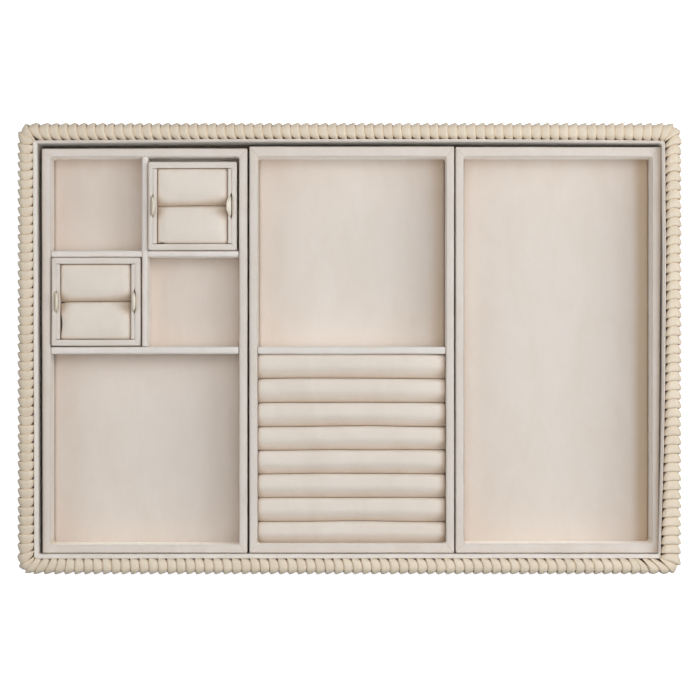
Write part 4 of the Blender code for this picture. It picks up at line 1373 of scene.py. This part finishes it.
class RingBoxes(bpy.types.Operator):
    """The two lift-out ring boxes: wrapped shells, thin liners and stuffed pads"""

    bl_idname = "jewellery_case.ring_boxes"
    bl_label = "Ring boxes"

    def execute(self, context):
        cloth = context.scene.case_suede
        cover = suede("box_nap", tinted(cloth.frame_colour, 1.01), wear_and_light=0.55)
        stuffing = suede("pad_nap", cloth.roll_colour)
        for number, prefix in enumerate(RING_BOXES):
            self.shell(prefix, cover, 41 + number)
            for side in ("left", "right"):
                self.liner(prefix, side, cover, 51 + number)
            for place in ("front", "back"):
                self.pad(prefix, place, stuffing, 61 + number)
        return {"FINISHED"}

    def tab_room(self, prefix, side, y):
        """How far the covers part round a tab at this y."""
        spare, fade = 0.0001, 0.0005
        low, high = placed_box(f"{prefix}_tab_{side}")
        middle, half = (low.y + high.y) / 2, TAB_WIDTH * (high.y - low.y) / 2 + spare
        return clamped(1.0 - (abs(y - middle) - half) / fade)

    def shell(self, prefix, finish, seed):
        """A box's walls. Their inner edge gives way and dips where a tab stands against it."""
        node = f"{prefix}_box_shell"
        low, high = placed_box(node)
        liner = placed_box(f"{prefix}_box_liner_left")
        middle = (low.x + high.x) / 2
        pads = plan_box(f"{prefix}_ring_pad_front", f"{prefix}_ring_pad_back")
        gap, fuller, dipping_part, straight_part = 0.0003, 0.0003, 0.0012, 0.0002
        inner = (
            Vector((liner[0].x - gap, pads[0].y - gap, 0)),
            Vector((2 * middle - liner[0].x + gap, pads[1].y + gap, 0)),
        )
        # The front box's cover is fuller at the right.
        high.x += fuller if prefix == "front" else 0.0
        inside, outside, fold = paired_loops(inner, (low, high), *BOX_CORNERS, BOX_STEP)
        floor = pads[0].z - gap
        section = covered_section(low.z, high.z, BOX_EDGE, inner_radius=BOX_INNER_EDGE)
        section[:2] = [(0, 0.0, floor), (0, 0.0, floor + 0.4 * (high.z - floor))]
        rings = skin_wall(inside, outside, section, fold, seed=seed)
        for (x, y), ring in zip(inside, rings):
            if min(abs(x - inner[0].x), abs(x - inner[1].x)) > straight_part:
                continue
            side, away = ("left", -1) if x < middle else ("right", 1)
            room = self.tab_room(prefix, side, y)
            for at, (edge, _, z) in enumerate(section):
                if edge == 0 and z > high.z - GIVING_PART:
                    ring[at, 0] += away * TAB_ROOMS[side] * room
                if edge == 0 and z > high.z - dipping_part:
                    ring[at, 2] -= TAB_DIP * room
        mesh = tube_mesh(f"{prefix}_box_cover", rings, closed_section=False)
        new_piece(f"{prefix}_box_cover", mesh, finish, f"{prefix}_ring_box", "suede", node)

    def liner(self, prefix, side, finish, seed):
        """A liner's cover touches the shell's, so that only a fine seam shows, and hardly any on the left."""
        node = f"{prefix}_box_liner_{side}"
        low, high = placed_box(node)
        thicker, near_shell, dipping_part = 0.0003, 0.0009, 0.0008
        if side == "left":
            away, outer_x, left_edge, right_edge, give = 1, low.x, 0.0001, 0.0008, 0.0003
        else:
            away, outer_x, left_edge, right_edge = -1, high.x, 0.0006, 0.0004
            give = 0.0001 + 0.4 * TABS[f"{prefix}_tab_{side}"][0]
        x = (low.x + high.x) / 2 - away * thicker / 2
        mesh = straight_wall(
            f"{node}_cover", (x, low.y), (x, high.y), high.x - low.x + thicker, low.z, high.z,
            right_edge, seed, left_edge,
        )
        points = coordinates(mesh)
        for point in points:
            if point[2] > high.z - GIVING_PART and abs(point[0] - outer_x) < near_shell:
                room = self.tab_room(prefix, side, point[1])
                point[0] += away * give * room
                if point[2] > high.z - dipping_part:
                    point[2] -= TAB_DIP * room
        place_vertices(mesh, points)
        new_piece(f"{node}_cover", mesh, finish, f"{prefix}_ring_box", "suede", node)

    def pad(self, prefix, place, finish, seed):
        """Half of a box's stuffing. The slit between the two leans a little and bows."""
        node = f"{prefix}_ring_pad_{place}"
        stray, most_puffed, before_slit, behind_slit = 0.0002, 0.0004, 0.0035, 0.001
        low, high = placed_box(node)
        if place == "front":
            falls, pressed_y, painted_shade_and_dent = (*(PAD_EDGE,) * 3, SLIT_FRONT), high.y - before_slit, 1.0
        else:
            falls, pressed_y, painted_shade_and_dent = (PAD_EDGE, PAD_EDGE, SLIT_BACK, PAD_EDGE), low.y + behind_slit, 0.5

        def edges(at):
            line = SLIT_LEAN * (at - 0.5) + SLIT_BOW * math.sin(at * math.pi)
            return (low.y, high.y + line) if place == "front" else (low.y + line, high.y)

        mesh = block_mesh(node, low, high, falls, (22, 12, 7), edges)
        piece = new_piece(f"{prefix}_pad_{place}", mesh, finish, f"{prefix}_ring_box", "roll_suede", node)
        puff(piece, most_puffed)
        points = coordinates(mesh)
        for at, (x, y, z) in enumerate(points):
            front, back = edges(clamped((x - low.x) / (high.x - low.x)))
            left_gap, front_gap, back_gap = self.shrunk(f"{prefix}_{place}", x, y, low, high)
            lift = max(0.0, (z - low.z) / (high.z - low.z))
            z += stray * lift * drift((x, y, seed), 70.0, seed)
            for end, (depth, reach) in zip((low.x, high.x), FINGER_MARKS):
                away = ((x - end) / reach) ** 2 + ((y - pressed_y) / FINGER_WIDTH) ** 2
                z -= lift * painted_shade_and_dent * depth * math.exp(-away)
            x, y = min(max(x, low.x + left_gap), high.x), min(max(y, front + front_gap), back - back_gap)
            points[at] = x, y, z
        place_vertices(mesh, points)
        # Painted shade where the pad's top falls away, at its edges and into the slit
        mark_painted_shade(mesh, marks_below(mesh, high.z, "pad"))

    def shrunk(self, pad, x, y, low, high):
        """How far a pad has shrunk from its left, front and back edge at a point."""
        at_left, at_back, at_front = PAD_SHRINKS
        if pad == "front_front":
            left_start, left_part, left_sharp, back_reach = 0.06, 0.7, 1.3, 0.0036
            part = clamped(((y - low.y) / (high.y - low.y) - left_start) / left_part)
            near_left = max(0.0, 1.0 - max(0.0, x - low.x) / back_reach)
            return at_left * math.sin(math.pi * part) ** left_sharp, 0.0, at_back * near_left
        if pad == "rear_front":
            front_start, front_reach = 0.0005, 0.0045
            part = clamped((x - low.x - front_start) / front_reach)
            return 0.0, at_front * math.sin(math.pi * part), 0.0
        return 0.0, 0.0, 0.0


class PullTabs(bpy.types.Operator):
    """The four half-moon leather tabs that lift the ring boxes out"""

    bl_idname = "jewellery_case.pull_tabs"
    bl_label = "Pull tabs"

    def execute(self, context):
        rgb = context.scene.case_leather.tab_colour
        finish = leather("tab_hide", rgb, gloss=0.36, grain=1500.0, depth=0.1, strength=0.12)
        for node, (thick, curl) in TABS.items():
            self.tab(node, finish, thick, curl)
        return {"FINISHED"}

    def tab(self, node, finish, thick, tip_curl, arc=16, layers=8):
        """A leaf of stations along the seam. Each is a rounded slip whose height follows the half moon.

        The slip is thinner at the leaf's two ends, and thin at the seam, where it bends.
        """
        end_thick, middle_more = 0.55, 0.45
        seam_thick, upper_more, thick_from = 0.2, 0.78, 0.72
        squared, moon_full, tip_reach = 0.45, 0.985, 0.0004
        body = node.replace("_tab_left", "_left_tab").replace("_tab_right", "_right_tab")
        joint = next(item for item in frame["joints"] if item["child"] == body)
        slide = placed_box(node)[0].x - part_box(node)[0].x
        root = Vector(joint["pos_m"]) + Vector((ROOT_SLIDE * slide, 0, 0))
        points = coordinates(frame["nodes"][node].data) + np.array((slide, 0, 0))
        top = points[points[:, 2] > points[:, 2].max() - tip_reach].mean(axis=0)
        up = Vector((top[0] - root.x, 0.0, top[2] - root.z)).normalized()
        across = Vector((up.z, 0.0, -up.x))
        half = TAB_WIDTH * (points[:, 1].max() - points[:, 1].min()) / 2
        rise = (Vector(top) - root).length
        rings = np.empty((arc + 1, layers * 2, 3))
        for station in range(arc + 1):
            part = -math.cos(math.pi * station / arc)
            moon = rise * math.sqrt(max(0.0, 1 - part * part * moon_full))
            slip = thick * (end_thick + middle_more * math.sqrt(max(0.0, 1 - part ** 4)))
            for at in range(layers * 2):
                angle = math.pi * at / layers
                height = TAB_FOOT + (moon - TAB_FOOT) * (1 - math.cos(angle)) / 2
                side = math.sin(angle) * abs(math.sin(angle)) ** -squared if at % layers else 0.0
                curl = tip_curl * max(0.0, height / rise) ** 2
                full = seam_thick + upper_more * clamped(height / (thick_from * rise))
                outward = across * (curl - 0.5 * slip * full * side)
                rings[station, at] = root + up * height - outward + Vector((0, part * half, 0))
        mesh = tube_mesh(f"{node}_leather", rings, closed_path=False)
        new_piece(f"{node}_leather", mesh, finish, body, "tab_leather", node)


class CasePanel(bpy.types.Panel):
    """Lists the pieces of the case and their sizes and colours"""

    bl_idname = "VIEW3D_PT_jewellery_case"
    bl_label = "Jewellery case"
    bl_space_type = "VIEW_3D"
    bl_region_type = "UI"
    bl_category = "Jewellery case"

    def draw(self, context):
        for operator in OPERATORS:
            self.layout.operator(operator.bl_idname)
        for name in SETTINGS:
            group = getattr(context.scene, name)
            box = self.layout.box()
            for prop in group.bl_rna.properties:
                if prop.identifier not in ("rna_type", "name"):
                    box.prop(group, prop.identifier)


OPERATORS = (
    CaseStage, CaseBody, CaseLining, WoundRim, SuedeTrays, RingRolls, RingBoxes, PullTabs,
)
SETTINGS = {
    "case_rim": CordRimSettings,
    "case_suede": SuedeSettings,
    "case_leather": LeatherSettings,
    "case_stage": StageSettings,
}


def register():
    for kind in (*SETTINGS.values(), *OPERATORS, CasePanel):
        bpy.utils.register_class(kind)
    for name, kind in SETTINGS.items():
        setattr(bpy.types.Scene, name, PointerProperty(type=kind))


def unregister():
    for name in SETTINGS:
        delattr(bpy.types.Scene, name)
    for kind in (CasePanel, *reversed(OPERATORS), *reversed(SETTINGS.values())):
        bpy.utils.unregister_class(kind)


def main():
    register()
    for operator in OPERATORS:
        getattr(bpy.ops.jewellery_case, operator.bl_idname.split(".")[1])()


if __name__ == "__main__":
    main()
